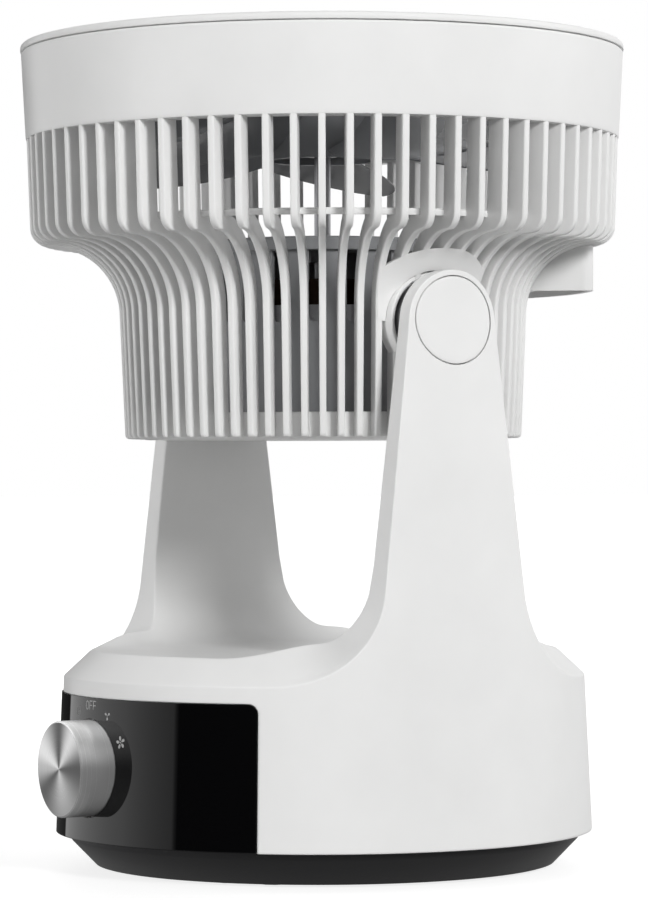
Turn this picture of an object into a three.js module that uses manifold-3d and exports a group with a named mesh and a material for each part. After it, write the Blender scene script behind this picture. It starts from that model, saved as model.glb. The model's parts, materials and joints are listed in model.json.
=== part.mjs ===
// A desk air circulator: a round drum base with two arms, and between them a
// tilting head that holds a motor, a five-blade propeller and a slatted shroud.
// Millimetres, +Z up. The floor is z = 0 and the drum's axis is the Z axis.
// The head is stored pointing straight up; the controls face -Y.
import * as THREE from 'three';
import { mergeVertices } from 'three/addons/utils/BufferGeometryUtils.js';
import Module from 'manifold-3d';

const wasm = await Module();
wasm.setup();

// ---------- driving dimensions ----------
const FIT = 0.3; // gap between pieces that touch
const RIM_STEPS = 48; // flat sides that stand for a circle on the drum's rims
const CUT = 2; // how far a cutting solid runs past a face

// feet and base pan
const PAN_Z = 1.0; // height of the pan's underside above the floor
const PAN_WALL = 2.5;
const PAN_INSET = 5.5; // from the drum's lower edge in to the pan's rim
const PAN_CONE = 12.7; // from the pan's rim in to its flat underside
const PAN_BAND_STEP = 0.7; // from the top of the pan's cone out to its rim
const PAN_LIP = 7; // how far the pan's rim reaches up inside the drum
const FOOT_R = 9;
const FOOT_CIRCLE_R = 90;
const FOOT_POCKET = 1.3;
const FOOT_BEVEL = 0.5;

// drum and arms
const DRUM_Z = 16; // lower edge of the drum
const DRUM_R = 124.5; // radius at that edge
const DRUM_DRAFT = 0.0446; // radius lost for each millimetre of height
const DRUM_WALL_HEIGHT = 72.3;
const SKIN = 3.0; // outer skin of drum and arms
const LEDGE = 3.0; // thickness of the ledge under the drum
const CHAMFER_RUN = 12.9;
const CHAMFER_RISE = 12.0;
const COVER_WALL = 2.6;
const PIVOT_RISE = 148.9; // from the drum's flat top to the tilt axis
const ARM_END_R = 22.3; // round end of an arm
const ARM_TAPER = 0.117; // half-width gained for each millimetre down
const ARM_FLARE_R = 46;
const ARM_GAP = 101.0; // axis to an arm's inner face, at the foot of the arm
const ARM_LEAN = 0.016; // how much that face moves out for each millimetre of height
const SADDLE_R = 40; // fillet between drum top and an arm's inner face

// control panel and knob
const PANEL_HALF_ANGLE = 46.8; // degrees
const PANEL_TOP_Z = 81;
const PANEL_CORNER_R = 4.5;
const PANEL_WALL = 1.9;
const PANEL_PROUD = 0.6;
const KNOB_Z = 49.4;
const KNOB_R = 21.7;
const KNOB_FRONT_Y = 138; // distance of the knob's face from the drum's axis
const KNOB_WALL = 1.4;
const KNOB_BEVEL = 0.5;
const KNOB_RING_GAP = 0.7; // gap around the knob in the panel
const KNOB_FLOOR_Y = 118.8; // floor of the pocket behind the knob
const PAD_WALL = 2.8;
const SWITCH_SIZE = [26, 15, 28];
const SWITCH_BUSH_R = 4.5;
const SWITCH_BUSH_LENGTH = 6.5;
const SWITCH_NUT_R = 7.5;
const NUT_INSET = 1; // from the end of the switch's bush down to its nut's face
const KNOB_SHAFT_R = 3.0;
const KNOB_SHAFT_END = 3.5; // plastic left in front of the shaft

// inside the drum
const BALLAST_R = 80;
const BALLAST_BORE_R = 22;
const BALLAST_THICKNESS = 4;
const POST_R = 4.8;
const POST_X = 52;
const POST_Y = 82;
const SCREW_R = 1.6;
const SCREW_HEAD_R = 3.1;
const SCREW_HEAD_HEIGHT = 1.8;
const SCREW_SINK = 1.3; // depth of the recess around a pan screw's head
const SCREW_GRIP = 10; // how far a screw reaches into its post
const BOARD_SIZE = [70, 1.6, 30];
const BOARD_GAP = 4; // from the switch's back to the board
const BRACKET_WALL = 2.5;
const BRACKET_FOOT = 12;
const CAPACITOR_SIZE = [36, 17, 26];
const CAPACITOR_Y = 46;
const GLAND_Z = 32;
const GLAND_R = 5.2;
const GLAND_FLANGE_R = 7.6;
const GLAND_FLANGE = 1.8;
const GLAND_BORE_R = 3.2;

// pivots
const BOSS_R = 21.7;
const BOSS_DEPTH = 10; // from the boss's face back towards the motor
const BOSS_FLOOR = 2;
const BOSS_GROOVE = 0.8; // groove between a boss's rim and the ear around it
const BOSS_FACE_X = 96.2;
const HUB_R = 19.4;
const HUB_FACE_X = 100.6;
const RIM_DROP = 1.6; // how far the boss's rim stays below the hub's face
const JOURNAL_R = 9;
const PIVOT_SHAFT_R = 4;
const PIVOT_NUT_R = 12.5;
const PIVOT_NUT_THICKNESS = 2.6;
const WASHER_THICKNESS = 0.9;
const CAP_R = 19.35;
const EAR_R = 34; // plate around the pivot, flush with the slats
const EAR_THICKNESS = 3;
const EAR_PROUD = 0.5;

// head: shroud
const SLAT_COUNT = 70;
const EAR_SLATS = 3; // slats that the ear spans to each side of the pivot
const SLAT_WIDTH = 3.2;
const SLAT_DEPTH = 11.5;
const NECK_DEPTH = 8.8;
const HEAD_DROP = 51.2; // from the tilt axis down to the head's lower edge
const NECK_BOTTOM_R = 92.4;
const NECK_TOP_R = 94.8;
const NECK_RISE = 5.8; // from the tilt axis up to the start of the flare
const FLARE_R = 33;
const FLARE_STEPS = 3; // straight stretches that stand for the flare's quarter circle
const CORNER_R = 8;
const SLAT_STRAIGHT = 40.8; // upright part of a slat, above its corner
const BAND_TOP_R = 140.3;
const BAND_DRAFT = 2.1; // radius gained from the band's lower edge to its upper one
const SHOULDER_INSET = 1.9; // from the band's lower edge in to the slats' corner
const BAND_HEIGHT = 40.6;
const BAND_WALL = 2.6;
const SLOT_INSET = 0.3; // slats stand this far inside the band
const SHELF = 3; // thickness of the shelf that the slats hang from
const SLAT_TUCK = 1.6; // how far a slat runs into the band
const DISH_R = 84.6;
const DISH_WALL = 2.6;
const DISH_RIM = 11.4;
const DISH_SCREW_FLOOR = 0.6; // plastic left outside the motor screws' holes

// head: front grille
const BEZEL_PROUD = 0.6; // past the band
const BEZEL_HEIGHT = 3.5;
const BEZEL_BEVEL = 1.3;
const BEZEL_WIDTH = 8.9;
const BEZEL_SKIRT = 5;
const VANE_COUNT = 30;
const VANE_WIDTH = 2;
const VANE_HEIGHT = 7;
const VANE_INSET = 2.4; // from the head's top down to the vanes
const VANE_SWEEP = 24; // degrees between a vane's two ends
const RING_R = 82;
const GRILLE_TUCK = 1; // how far the grille's vanes and ring run into each other
const RING_WIDTH = 2.4;
const CENTRE_R = 30;
const CENTRE_CROWN = 1.2;
const CENTRE_WALL = 2.2;

// head: carry handle
const HANDLE_INSET = 9.4; // from the slats' corner in to the grip's face
const HANDLE_SLATS = 6; // slats that the handle spans to each side of its middle
const HANDLE_DROP = 21.3; // below the flare's top
const HANDLE_WALL = 2.8;
const HANDLE_SKIN = 2.0;

// head: motor
const MOTOR_R = 50;
const MOTOR_WALL = 2.4;
const MOTOR_HEIGHT = 89;
const MOTOR_FLANGE_R = 53;
const MOTOR_FLANGE = 6;
const MOTOR_SLOTS = 18;
const MOTOR_SLOT_WIDTH = 5.5;
const MOTOR_SLOT_HEIGHT = 33;
const MOTOR_FOOT_R = 59;
const MOTOR_FOOT = 2.6;
const MOTOR_SCREW_R = 54.5;
const STATOR_HEIGHT = 34;
const STATOR_Z = 24; // above the motor's foot
const STATOR_BORE_R = 22;
const WINDING_HEIGHT = 12;
const WINDING_R = 38;
const WINDING_INSET = 2; // from the stator's bore out to the windings
const AIR_GAP = 0.5;
const BEARING_R = 11;
const BEARING_HEIGHT = 7;
const BEARING_SEAT = 2.4;
const SHAFT_R = 3.8;

// rotor
const HUB_LIFT = 38; // from the motor's top to the propeller's underside
const PROPELLER_HUB_R = 26;
const PROPELLER_HUB_HEIGHT = 24;
const PROPELLER_WALL = 2.4;
const PROPELLER_BOSS_WALL = 3;
const PROPELLER_BOSS_INSET = 2; // from the hub's lower edge up to its boss
const PROPELLER_GAP = 2.8; // between the blades' tips and the slats
const BLADE_COUNT = 5;
const BLADE_THICKNESS = 2;
const BLADE_ROOT_ANGLE = 50; // degrees round the axis that a blade's root spans
const BLADE_TIP_ANGLE = 56;
const BLADE_ROOT_RISE = 18; // height between a blade's two edges, at the root
const BLADE_TIP_RISE = 40;
const BLADE_SWEEP = 20; // degrees that the tip leads the root
const NUT_R = 10;
const NUT_HEIGHT = 10;
const NUT_SIDE = 3; // upright part of the nut's side
const NUT_BEVEL = 3;
const SHAFT_STUB = 6; // shaft above the hub

// ---------- sizes that follow ----------
const PITCH = 360 / SLAT_COUNT;
const PAN_RIM_R = DRUM_R - PAN_INSET;
const PAN_FLAT_R = PAN_RIM_R - PAN_CONE;
const EDGE_Z = DRUM_Z + DRUM_WALL_HEIGHT;
const TOP_Z = EDGE_Z + CHAMFER_RISE;
const PIVOT_Z = TOP_Z + PIVOT_RISE;
const HEAD_Z = PIVOT_Z - HEAD_DROP;
const FLARE_Z = PIVOT_Z + NECK_RISE;
const FLARE_TOP_Z = FLARE_Z + FLARE_R;
const FLARE_CENTRE_R = NECK_TOP_R + FLARE_R;
const CORNER_Z = FLARE_TOP_Z + CORNER_R;
const BAND_BOTTOM_R = BAND_TOP_R - BAND_DRAFT;
const SHOULDER_R = BAND_BOTTOM_R - SHOULDER_INSET;
const BEZEL_R = BAND_TOP_R + BEZEL_PROUD;
const BEZEL_INNER_R = BEZEL_R - BEZEL_WIDTH;
const HANDLE_R = SHOULDER_R - HANDLE_INSET;
const PROPELLER_R = SHOULDER_R - SLAT_DEPTH - PROPELLER_GAP;
const BAND_Z = CORNER_Z + SLAT_STRAIGHT;
const BAND_TOP_Z = BAND_Z + BAND_HEIGHT;
const HEAD_TOP_Z = BAND_TOP_Z + BEZEL_HEIGHT;
const DISH_Z = HEAD_Z - 0.4;
const MOTOR_Z = DISH_Z + DISH_WALL + FIT;
const MOTOR_TOP_Z = MOTOR_Z + MOTOR_HEIGHT;
const HUB_Z = MOTOR_TOP_Z + HUB_LIFT;
const HUB_TOP_Z = HUB_Z + PROPELLER_HUB_HEIGHT;
const SHAFT_BORE_R = SHAFT_R + FIT;

// ---------- materials ----------
function finish(color, roughness, metalness = 0) {
  return new THREE.MeshStandardMaterial({ color, roughness, metalness });
}
const WHITE = finish(0xf2f2f2, 0.45);
const BLACK = finish(0x141414, 0.4);
const GLOSS = finish(0x050505, 0.08);
const RUBBER = finish(0x181818, 0.9);
const GREY = finish(0x8d9092, 0.5);
const STEEL = finish(0xb8babd, 0.3, 1);
const ALUMINIUM = finish(0xc9cacc, 0.28, 1);
const COPPER = finish(0xb06a3a, 0.4, 1);
const GREEN = finish(0x1f5a34, 0.6);

// ---------- helpers: plain geometry ----------
const { cos, sin, sqrt, hypot, PI } = Math;
const rad = THREE.MathUtils.degToRad;
const lerp = THREE.MathUtils.lerp;
const v2 = (x, y) => new THREE.Vector2(x, y);

// Points of an arc, angles in degrees, both ends included.
function arc(cx, cy, r, from, to, steps) {
  return Array.from({ length: steps + 1 }, (_, i) => {
    const a = rad(lerp(from, to, i / steps));
    return [cx + r * cos(a), cy + r * sin(a)];
  });
}

// Where a line of points crosses a value of one coordinate.
function crossing(line, axis, value) {
  const i = line.findIndex((p, k) => k > 0 && (p[axis] - value) * (line[k - 1][axis] - value) <= 0);
  const t = (value - line[i - 1][axis]) / (line[i][axis] - line[i - 1][axis]);
  return [0, 1].map((k) => lerp(line[i - 1][k], line[i][k], t));
}

// A solid of revolution about Z from a closed or axis-to-axis outline of [radius, height].
function turned(outline, segments = 16, phase = 0) {
  const points = outline.map(([r, z]) => v2(r, z));
  if (THREE.ShapeUtils.isClockWise(points)) points.reverse();
  if (outline.every(([r]) => r > 0)) points.push(points[0].clone());
  return new THREE.LatheGeometry(points, segments, phase).rotateX(PI / 2);
}

const disc = (r, z0, z1, segments) => turned([[0, z0], [r, z0], [r, z1], [0, z1]], segments);
const ring = (r0, r1, z0, z1, segments, phase) => (
  turned([[r0, z0], [r1, z0], [r1, z1], [r0, z1]], segments, phase));

// An outline of [x, z] swept along Y, centred on the XZ plane.
function plateXZ(outline, width) {
  const shape = new THREE.Shape(outline.map(([x, z]) => v2(x, z)));
  const geometry = new THREE.ExtrudeGeometry(shape, { depth: width, bevelEnabled: false });
  return geometry.translate(0, 0, -width / 2).rotateX(PI / 2);
}

// An outline of [y, z] swept along X from x0 to x1.
function plateYZ(outline, x0, x1) {
  const shape = new THREE.Shape(outline.map(([y, z]) => v2(y, z)));
  const geometry = new THREE.ExtrudeGeometry(shape, { depth: x1 - x0, bevelEnabled: false });
  return geometry.translate(0, 0, x0).applyMatrix4(new THREE.Matrix4().set(
    0, 0, 1, 0,
    1, 0, 0, 0,
    0, 1, 0, 0,
    0, 0, 0, 1));
}

function box(x0, x1, y0, y1, z0, z1) {
  return new THREE.BoxGeometry(x1 - x0, y1 - y0, z1 - z0)
    .translate((x0 + x1) / 2, (y0 + y1) / 2, (z0 + z1) / 2);
}

// Turned work laid along another axis: its Z becomes the world's X, or -Y.
const alongX = (geometry, z = PIVOT_Z) => geometry.rotateY(PI / 2).translate(0, 0, z);
const alongFront = (geometry) => geometry.rotateX(PI / 2).translate(0, 0, KNOB_Z);

// The triangles that fill an outline, wound the same way as the outline.
function fill(outline) {
  const points = outline.map(([x, y]) => v2(x, y));
  const clockwise = THREE.ShapeUtils.isClockWise(points);
  return THREE.ShapeUtils.triangulateShape(points, []).map((corners) => (
    THREE.ShapeUtils.isClockWise(corners.map((i) => points[i])) === clockwise
      ? corners : [...corners].reverse()));
}

// Closed rings of points, each as long as the next, joined into one solid. outline is a
// ring's shape in two dimensions, and is left out where a ring is convex.
function loft(rings, outline) {
  const count = rings[0].length;
  const at = (ringIndex, i) => ringIndex * count + (i % count);
  const index = [];
  for (let k = 0; k + 1 < rings.length; k += 1) {
    for (let i = 0; i < count; i += 1) {
      index.push(at(k, i), at(k, i + 1), at(k + 1, i + 1));
      index.push(at(k, i), at(k + 1, i + 1), at(k + 1, i));
    }
  }
  const last = rings.length - 1;
  const fan = Array.from({ length: count - 2 }, (_, i) => [0, i + 1, i + 2]);
  for (const [a, b, c] of outline ? fill(outline) : fan) {
    index.push(at(0, a), at(0, c), at(0, b));
    index.push(at(last, a), at(last, b), at(last, c));
  }
  const geometry = new THREE.BufferGeometry();
  geometry.setAttribute('position', new THREE.Float32BufferAttribute(rings.flat(2), 3));
  return geometry.setIndex(index);
}

// ---------- helpers: booleans ----------
function toSolid(geometry) {
  const bare = geometry.clone();
  bare.deleteAttribute('normal');
  bare.deleteAttribute('uv');
  const merged = mergeVertices(bare, 1e-4);
  const source = merged.index.array;
  const triangles = [];
  for (let i = 0; i < source.length; i += 3) {
    const [a, b, c] = [source[i], source[i + 1], source[i + 2]];
    if (a !== b && b !== c && c !== a) triangles.push(a, b, c);
  }
  return new wasm.Manifold(new wasm.Mesh({
    numProp: 3,
    vertProperties: new Float32Array(merged.attributes.position.array),
    triVerts: new Uint32Array(triangles),
  }));
}

function toGeometry(solid) {
  const mesh = solid.getMesh();
  const geometry = new THREE.BufferGeometry();
  geometry.setAttribute('position', new THREE.Float32BufferAttribute(mesh.vertProperties, 3));
  geometry.setIndex(new THREE.Uint32BufferAttribute(mesh.triVerts, 1));
  const flat = geometry.toNonIndexed();
  flat.computeVertexNormals();
  return flat;
}

const join = (first, ...others) => others.reduce((sum, g) => sum.add(toSolid(g)), toSolid(first));
const cut = (solid, ...tools) => tools.reduce((left, g) => left.subtract(toSolid(g)), solid);

// A hexagonal nut with a round bore.
const hexNut = (boreR, r, z0, z1) => (
  toGeometry(cut(toSolid(disc(r, z0, z1, 6)), disc(boreR, z0 - CUT, z1 + CUT, 12))));

const model = new THREE.Group();
function piece(name, geometry, material) {
  const mesh = new THREE.Mesh(geometry, material);
  mesh.name = name;
  model.add(mesh);
}
const cutPiece = (name, solid, material) => piece(name, toGeometry(solid), material);

// ---------- the drum and its arms ----------
const drumRadius = (z) => DRUM_R - DRUM_DRAFT * (z - DRUM_Z);

// Height of the saddle, the trough between the arms, over a point x from the axis.
function saddleHeight(x, inset) {
  const radius = SADDLE_R + inset;
  const centreX = ARM_GAP - SADDLE_R;
  const centreZ = TOP_Z + SADDLE_R;
  const wallX = ARM_GAP + inset;
  if (x <= centreX) return TOP_Z - inset;
  if (x < wallX) return centreZ - sqrt(Math.max(radius ** 2 - (x - centreX) ** 2, 0));
  return centreZ + (x - wallX) / ARM_LEAN;
}

// The value between low and high where a rising test turns positive.
function solve(test, low, high) {
  for (let i = 0; i < 50; i += 1) {
    const middle = (low + high) / 2;
    if (test(middle) > 0) high = middle;
    else low = middle;
  }
  return (low + high) / 2;
}

// Side-view outline of one quarter, as [y, z, turn]; turn runs from 0 on the drum's
// level edge to 1 on the arm, where the bevel has become a strip square to the arm.
function quarterOutline(inset) {
  const endR = ARM_END_R - inset;
  const flareR = ARM_FLARE_R + inset;
  const edgeZ = EDGE_Z - inset;
  const tilt = Math.atan(ARM_TAPER);
  const lineY = (z) => endR / cos(tilt) + ARM_TAPER * (PIVOT_Z - z);
  const flareZ = edgeZ + flareR;
  const flareY = lineY(flareZ) + flareR / cos(tilt);
  const start = Math.acos(flareY / drumRadius(edgeZ));
  const outline = [];
  const levelSteps = 5;
  for (let i = 0; i < levelSteps; i += 1) {
    outline.push([drumRadius(edgeZ) * cos(start * i / levelSteps), edgeZ, 0]);
  }
  const flareSteps = 7;
  for (let i = 0; i <= flareSteps; i += 1) {
    const a = lerp(-PI / 2, -PI - tilt, i / flareSteps);
    const turn = THREE.MathUtils.smoothstep(i / flareSteps, 0, 0.85);
    outline.push([flareY + flareR * cos(a), flareZ + flareR * sin(a), turn]);
  }
  const endSteps = 5;
  for (let i = 0; i <= endSteps; i += 1) {
    const a = lerp(tilt, PI / 2, i / endSteps);
    outline.push([endR * cos(a), PIVOT_Z + endR * sin(a), 1]);
  }
  return outline;
}

// For each point of the quarter outline: the bevel's outer and inner edge and the drum's
// wall below it. offset moves the outer edge along the bevel, out of or into the drum.
function quarterStations(inset, offset) {
  return quarterOutline(inset).map(([y, z, turn]) => {
    const edge = new THREE.Vector3(sqrt(Math.max(drumRadius(z) ** 2 - y * y, 0)), y, z);
    const around = Math.atan2(edge.y, edge.x);
    const bevel = new THREE.Vector3(
      -CHAMFER_RUN * cos(around), -CHAMFER_RUN * sin(around), CHAMFER_RISE).normalize();
    const direction = bevel.lerp(new THREE.Vector3(-1, 0, 0), turn).normalize();
    const along = (length) => edge.clone().addScaledVector(direction, length);
    const proud = (p) => hypot(p.x, p.y) - drumRadius(p.z) - offset;
    const outer = along(solve((t) => -proud(along(t)), -40, 60));
    const inner = along(solve((t) => along(t).z - saddleHeight(along(t).x, inset), 0, 60));
    return { outer, inner, around: Math.atan2(outer.y, outer.x) };
  });
}

// The quarter's points mirrored into one closed ring, counter-clockwise from +X.
function fullRing(quarter) {
  const flip = (sx, sy) => (p) => [sx * p.x, sy * p.y, p.z];
  const q = [...quarter].reverse();
  const inner = quarter.slice(1);
  return [
    ...q.map(flip(1, 1)),
    ...inner.map(flip(-1, 1)),
    ...q.slice(1).map(flip(-1, -1)),
    ...quarter.slice(1, -1).map(flip(1, -1)),
  ];
}

// Drum and arms as one closed body. inset lowers every top surface; offset moves the wall.
function pedestal(inset, offset, bottomZ) {
  const stations = quarterStations(inset, offset);
  const wallR = drumRadius(bottomZ) + offset;
  const foot = stations.map(({ around }) => (
    new THREE.Vector3(wallR * cos(around), wallR * sin(around), bottomZ)));
  const rings = [foot, stations.map((s) => s.outer), stations.map((s) => s.inner)].map(fullRing);
  const count = rings[0].length;
  const half = count / 2;
  const index = [];
  const at = (ringIndex, i) => ringIndex * count + ((i + count) % count);
  for (let k = 0; k < 2; k += 1) {
    for (let i = 0; i < count; i += 1) {
      index.push(at(k, i), at(k, i + 1), at(k + 1, i + 1));
      index.push(at(k, i), at(k + 1, i + 1), at(k + 1, i));
    }
  }
  for (let i = 0; i < half; i += 1) {
    // the trough runs straight along Y from one bevel to the other
    const quad = [at(2, i), at(2, i + 1), at(2, -i - 1), at(2, -i)];
    if (quad[0] !== quad[3]) index.push(quad[0], quad[1], quad[3]);
    if (quad[1] !== quad[2]) index.push(quad[1], quad[2], quad[3]);
  }
  for (let i = 1; i + 1 < count; i += 1) index.push(at(0, 0), at(0, i + 1), at(0, i));
  const geometry = new THREE.BufferGeometry();
  geometry.setAttribute('position', new THREE.Float32BufferAttribute(rings.flat(2), 3));
  return geometry.setIndex(index);
}

// A frustum that follows the drum's wall, offset from it.
function wallBlock(offset, z0, z1) {
  const arounds = fullRing(quarterStations(0, 0).map(({ around }) => (
    new THREE.Vector3(cos(around), sin(around), 0))));
  const level = (z) => arounds.map(([x, y]) => (
    [x * (drumRadius(z) + offset), y * (drumRadius(z) + offset), z]));
  return loft([level(z0), level(z1)]);
}

// A curved plate on the drum's front, rounded at its top corners, from one offset to another.
function frontPlate(grow, inner, outer, z0) {
  const halfAngle = PANEL_HALF_ANGLE + THREE.MathUtils.radToDeg(grow / DRUM_R);
  const topZ = PANEL_TOP_Z + grow;
  const cornerR = PANEL_CORNER_R + grow;
  const halfLength = rad(halfAngle) * DRUM_R;
  const corner = arc(halfLength - cornerR, topZ - cornerR, cornerR, 0, 90, 4);
  const middle = 10;
  const span = halfLength - cornerR;
  const top = [...corner];
  for (let i = 1; i < middle; i += 1) top.push([lerp(span, -span, i / middle), topZ]);
  top.push(...arc(-span, topZ - cornerR, cornerR, 90, 180, 4));
  const sheet = (offset) => top.map(([s, z]) => {
    const a = s / DRUM_R;
    const point = (height) => {
      const r = drumRadius(height) + offset;
      return [r * sin(a), -r * cos(a), height];
    };
    return [point(z0), point(z)];
  });
  const inside = sheet(inner);
  const outside = sheet(outer);
  const rings = top.map((_, i) => [inside[i][0], outside[i][0], outside[i][1], inside[i][1]]);
  return loft(rings);
}

const knobHoleR = KNOB_R + KNOB_RING_GAP;
const knobDisc = (r, y0, y1, segments = 24) => alongFront(disc(r, y0, y1, segments));
const postPlaces = [[1, -1], [1, 1], [-1, 1], [-1, -1]].map(([x, y]) => [x * POST_X, y * POST_Y]);

function makeBodyShell() {
  const outside = toSolid(pedestal(0, 0, DRUM_Z));
  const hollow = toSolid(wallBlock(-SKIN, DRUM_Z + LEDGE, PIVOT_Z + ARM_END_R + CUT));
  const mouth = disc(PAN_RIM_R + FIT, DRUM_Z - CUT, DRUM_Z + LEDGE + CUT, RIM_STEPS);
  const pad = knobDisc(knobHoleR + PAD_WALL, KNOB_FLOOR_Y - PAD_WALL, KNOB_FLOOR_Y + CUT);
  let shell = cut(outside.subtract(hollow), mouth).add(toSolid(pad));
  const reach = DRUM_R + CUT;
  shell = cut(
    shell,
    frontPlate(FIT, PANEL_PROUD - PANEL_WALL - FIT, PANEL_PROUD + CUT, DRUM_Z - CUT),
    knobDisc(knobHoleR, KNOB_FLOOR_Y, reach),
    knobDisc(SWITCH_BUSH_R + FIT, KNOB_FLOOR_Y - PAD_WALL - CUT, KNOB_FLOOR_Y + CUT, 16),
    alongX(disc(CAP_R + FIT, -reach, reach, 36)),
    disc(GLAND_R + FIT, 0, reach, 16).rotateX(-PI / 2).translate(0, 0, GLAND_Z));
  cutPiece('body_shell', shell, WHITE);
}

function makeSaddleCover() {
  const outside = toSolid(pedestal(0, -SKIN - FIT, DRUM_Z));
  const hollow = toSolid(pedestal(COVER_WALL, CUT, DRUM_Z - CUT));
  const postFoot = PAN_Z + PAN_WALL + FIT;
  let cover = outside.subtract(hollow);
  for (const [x, y] of postPlaces) {
    cover = cover.add(toSolid(disc(POST_R, postFoot, TOP_Z - COVER_WALL / 2, 10).translate(x, y, 0)));
    cover = cut(cover, disc(SCREW_R + FIT, postFoot - CUT, postFoot + SCREW_GRIP + FIT, 8)
      .translate(x, y, 0));
  }
  cover = cut(cover, alongX(disc(JOURNAL_R + FIT, -DRUM_R, DRUM_R, 24)));
  cutPiece('saddle_cover', cover, WHITE);
}

function makePivotCaps() {
  const reach = DRUM_R;
  const seat = drumRadius(PIVOT_Z) - SKIN + FIT / 2;
  const skin = toSolid(wallBlock(0, TOP_Z, PIVOT_Z + ARM_END_R + CUT));
  cutPiece('pivot_cap_near', skin.intersect(toSolid(alongX(disc(CAP_R, seat, reach, 36)))), WHITE);
  cutPiece('pivot_cap_far', skin.intersect(toSolid(alongX(disc(CAP_R, -reach, -seat, 36)))), WHITE);
}

function makeBasePan() {
  const rimTop = DRUM_Z + PAN_LIP;
  const slope = PAN_RIM_R - PAN_FLAT_R - PAN_BAND_STEP; // width of the 45 degree cone
  const pan = toSolid(turned([
    [0, PAN_Z], [PAN_FLAT_R, PAN_Z], [PAN_FLAT_R + slope, PAN_Z + slope], [PAN_RIM_R, DRUM_Z - FIT],
    [PAN_RIM_R, rimTop], [PAN_RIM_R - PAN_WALL, rimTop], [PAN_RIM_R - PAN_WALL, DRUM_Z - FIT],
    [PAN_FLAT_R - 1, PAN_Z + PAN_WALL], [0, PAN_Z + PAN_WALL],
  ], RIM_STEPS));
  const pockets = footPlaces().map(([x, y]) => (
    disc(FOOT_R + FIT, PAN_Z - CUT, PAN_Z + FOOT_POCKET, 16).translate(x, y, 0)));
  const holes = postPlaces.flatMap(([x, y]) => [
    disc(SCREW_R + FIT, PAN_Z - CUT, PAN_Z + PAN_WALL + CUT, 8).translate(x, y, 0),
    disc(SCREW_HEAD_R + FIT, PAN_Z - CUT, PAN_Z + SCREW_SINK, 8).translate(x, y, 0)]);
  cutPiece('base_pan', cut(pan, ...pockets, ...holes), BLACK);
}

const footPlaces = () => [-45, 45, 135, 225].map((a) => (
  [FOOT_CIRCLE_R * cos(rad(a)), FOOT_CIRCLE_R * sin(rad(a))]));

function makeFeet() {
  const top = PAN_Z + FOOT_POCKET - FIT;
  footPlaces().forEach(([x, y], i) => {
    const outline = [[0, 0], [FOOT_R - FOOT_BEVEL, 0], [FOOT_R, FOOT_BEVEL], [FOOT_R, top], [0, top]];
    piece(`foot_pad_${i + 1}`, turned(outline, 12).translate(x, y, 0), RUBBER);
  });
}

// A screw pointing up: its head's lower face is at z.
function screw(z, length) {
  const neck = z + SCREW_HEAD_HEIGHT;
  return turned([
    [0, z], [SCREW_HEAD_R, z], [SCREW_HEAD_R, neck], [SCREW_R, neck],
    [SCREW_R, neck + length], [0, neck + length],
  ], 8);
}

function makePanScrews() {
  const headZ = PAN_Z + SCREW_SINK - FIT - SCREW_HEAD_HEIGHT;
  const length = PAN_WALL - SCREW_SINK + 2 * FIT + SCREW_GRIP;
  postPlaces.forEach(([x, y], i) => {
    piece(`pan_screw_${i + 1}`, screw(headZ, length).translate(x, y, 0), STEEL);
  });
}

function makeControls() {
  const panelInner = PANEL_PROUD - PANEL_WALL;
  const panel = cut(
    toSolid(frontPlate(0, panelInner, PANEL_PROUD, DRUM_Z + FIT)),
    knobDisc(knobHoleR, KNOB_FLOOR_Y, DRUM_R + CUT));
  cutPiece('control_panel', panel, GLOSS);

  const capBack = KNOB_FLOOR_Y + FIT;
  const capFloor = KNOB_FRONT_Y - KNOB_WALL;
  piece('speed_knob', alongFront(turned([
    [0, capFloor], [KNOB_R - KNOB_WALL, capFloor], [KNOB_R - KNOB_WALL, capBack], [KNOB_R, capBack],
    [KNOB_R, KNOB_FRONT_Y - KNOB_BEVEL], [KNOB_R - KNOB_BEVEL, KNOB_FRONT_Y], [0, KNOB_FRONT_Y],
  ], 32)), ALUMINIUM);

  const nutBack = KNOB_FLOOR_Y + FIT;
  const bushEnd = KNOB_FLOOR_Y - PAD_WALL - FIT + SWITCH_BUSH_LENGTH;
  const coreBack = bushEnd + FIT;
  const shaftEnd = KNOB_FRONT_Y - KNOB_WALL - FIT - KNOB_SHAFT_END;
  const boreR = KNOB_SHAFT_R + FIT;
  const coreR = KNOB_R - KNOB_WALL - FIT;
  piece('knob_core', alongFront(turned([
    [0, shaftEnd + FIT], [boreR, shaftEnd + FIT], [boreR, coreBack], [coreR, coreBack],
    [coreR, capFloor - FIT], [0, capFloor - FIT],
  ], 20)), BLACK);
  const switchFront = KNOB_FLOOR_Y - PAD_WALL - FIT;
  const [wide, deep, tall] = SWITCH_SIZE;
  const shaftBack = switchFront - deep / 2;
  piece('knob_shaft', alongFront(disc(KNOB_SHAFT_R, shaftBack, shaftEnd, 12)), STEEL);
  piece('switch_nut', alongFront(
    hexNut(SWITCH_BUSH_R + 1.2 * FIT, SWITCH_NUT_R, nutBack, bushEnd - NUT_INSET)), STEEL);

  const housing = box(-wide / 2, wide / 2, -switchFront, -switchFront + deep,
    KNOB_Z - tall / 2, KNOB_Z + tall / 2);
  const bush = knobDisc(SWITCH_BUSH_R, switchFront - CUT, bushEnd, 16);
  const bore = knobDisc(boreR, shaftBack - FIT, bushEnd + CUT, 12);
  cutPiece('rotary_switch', cut(join(housing, bush), bore), BLACK);
}

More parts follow.
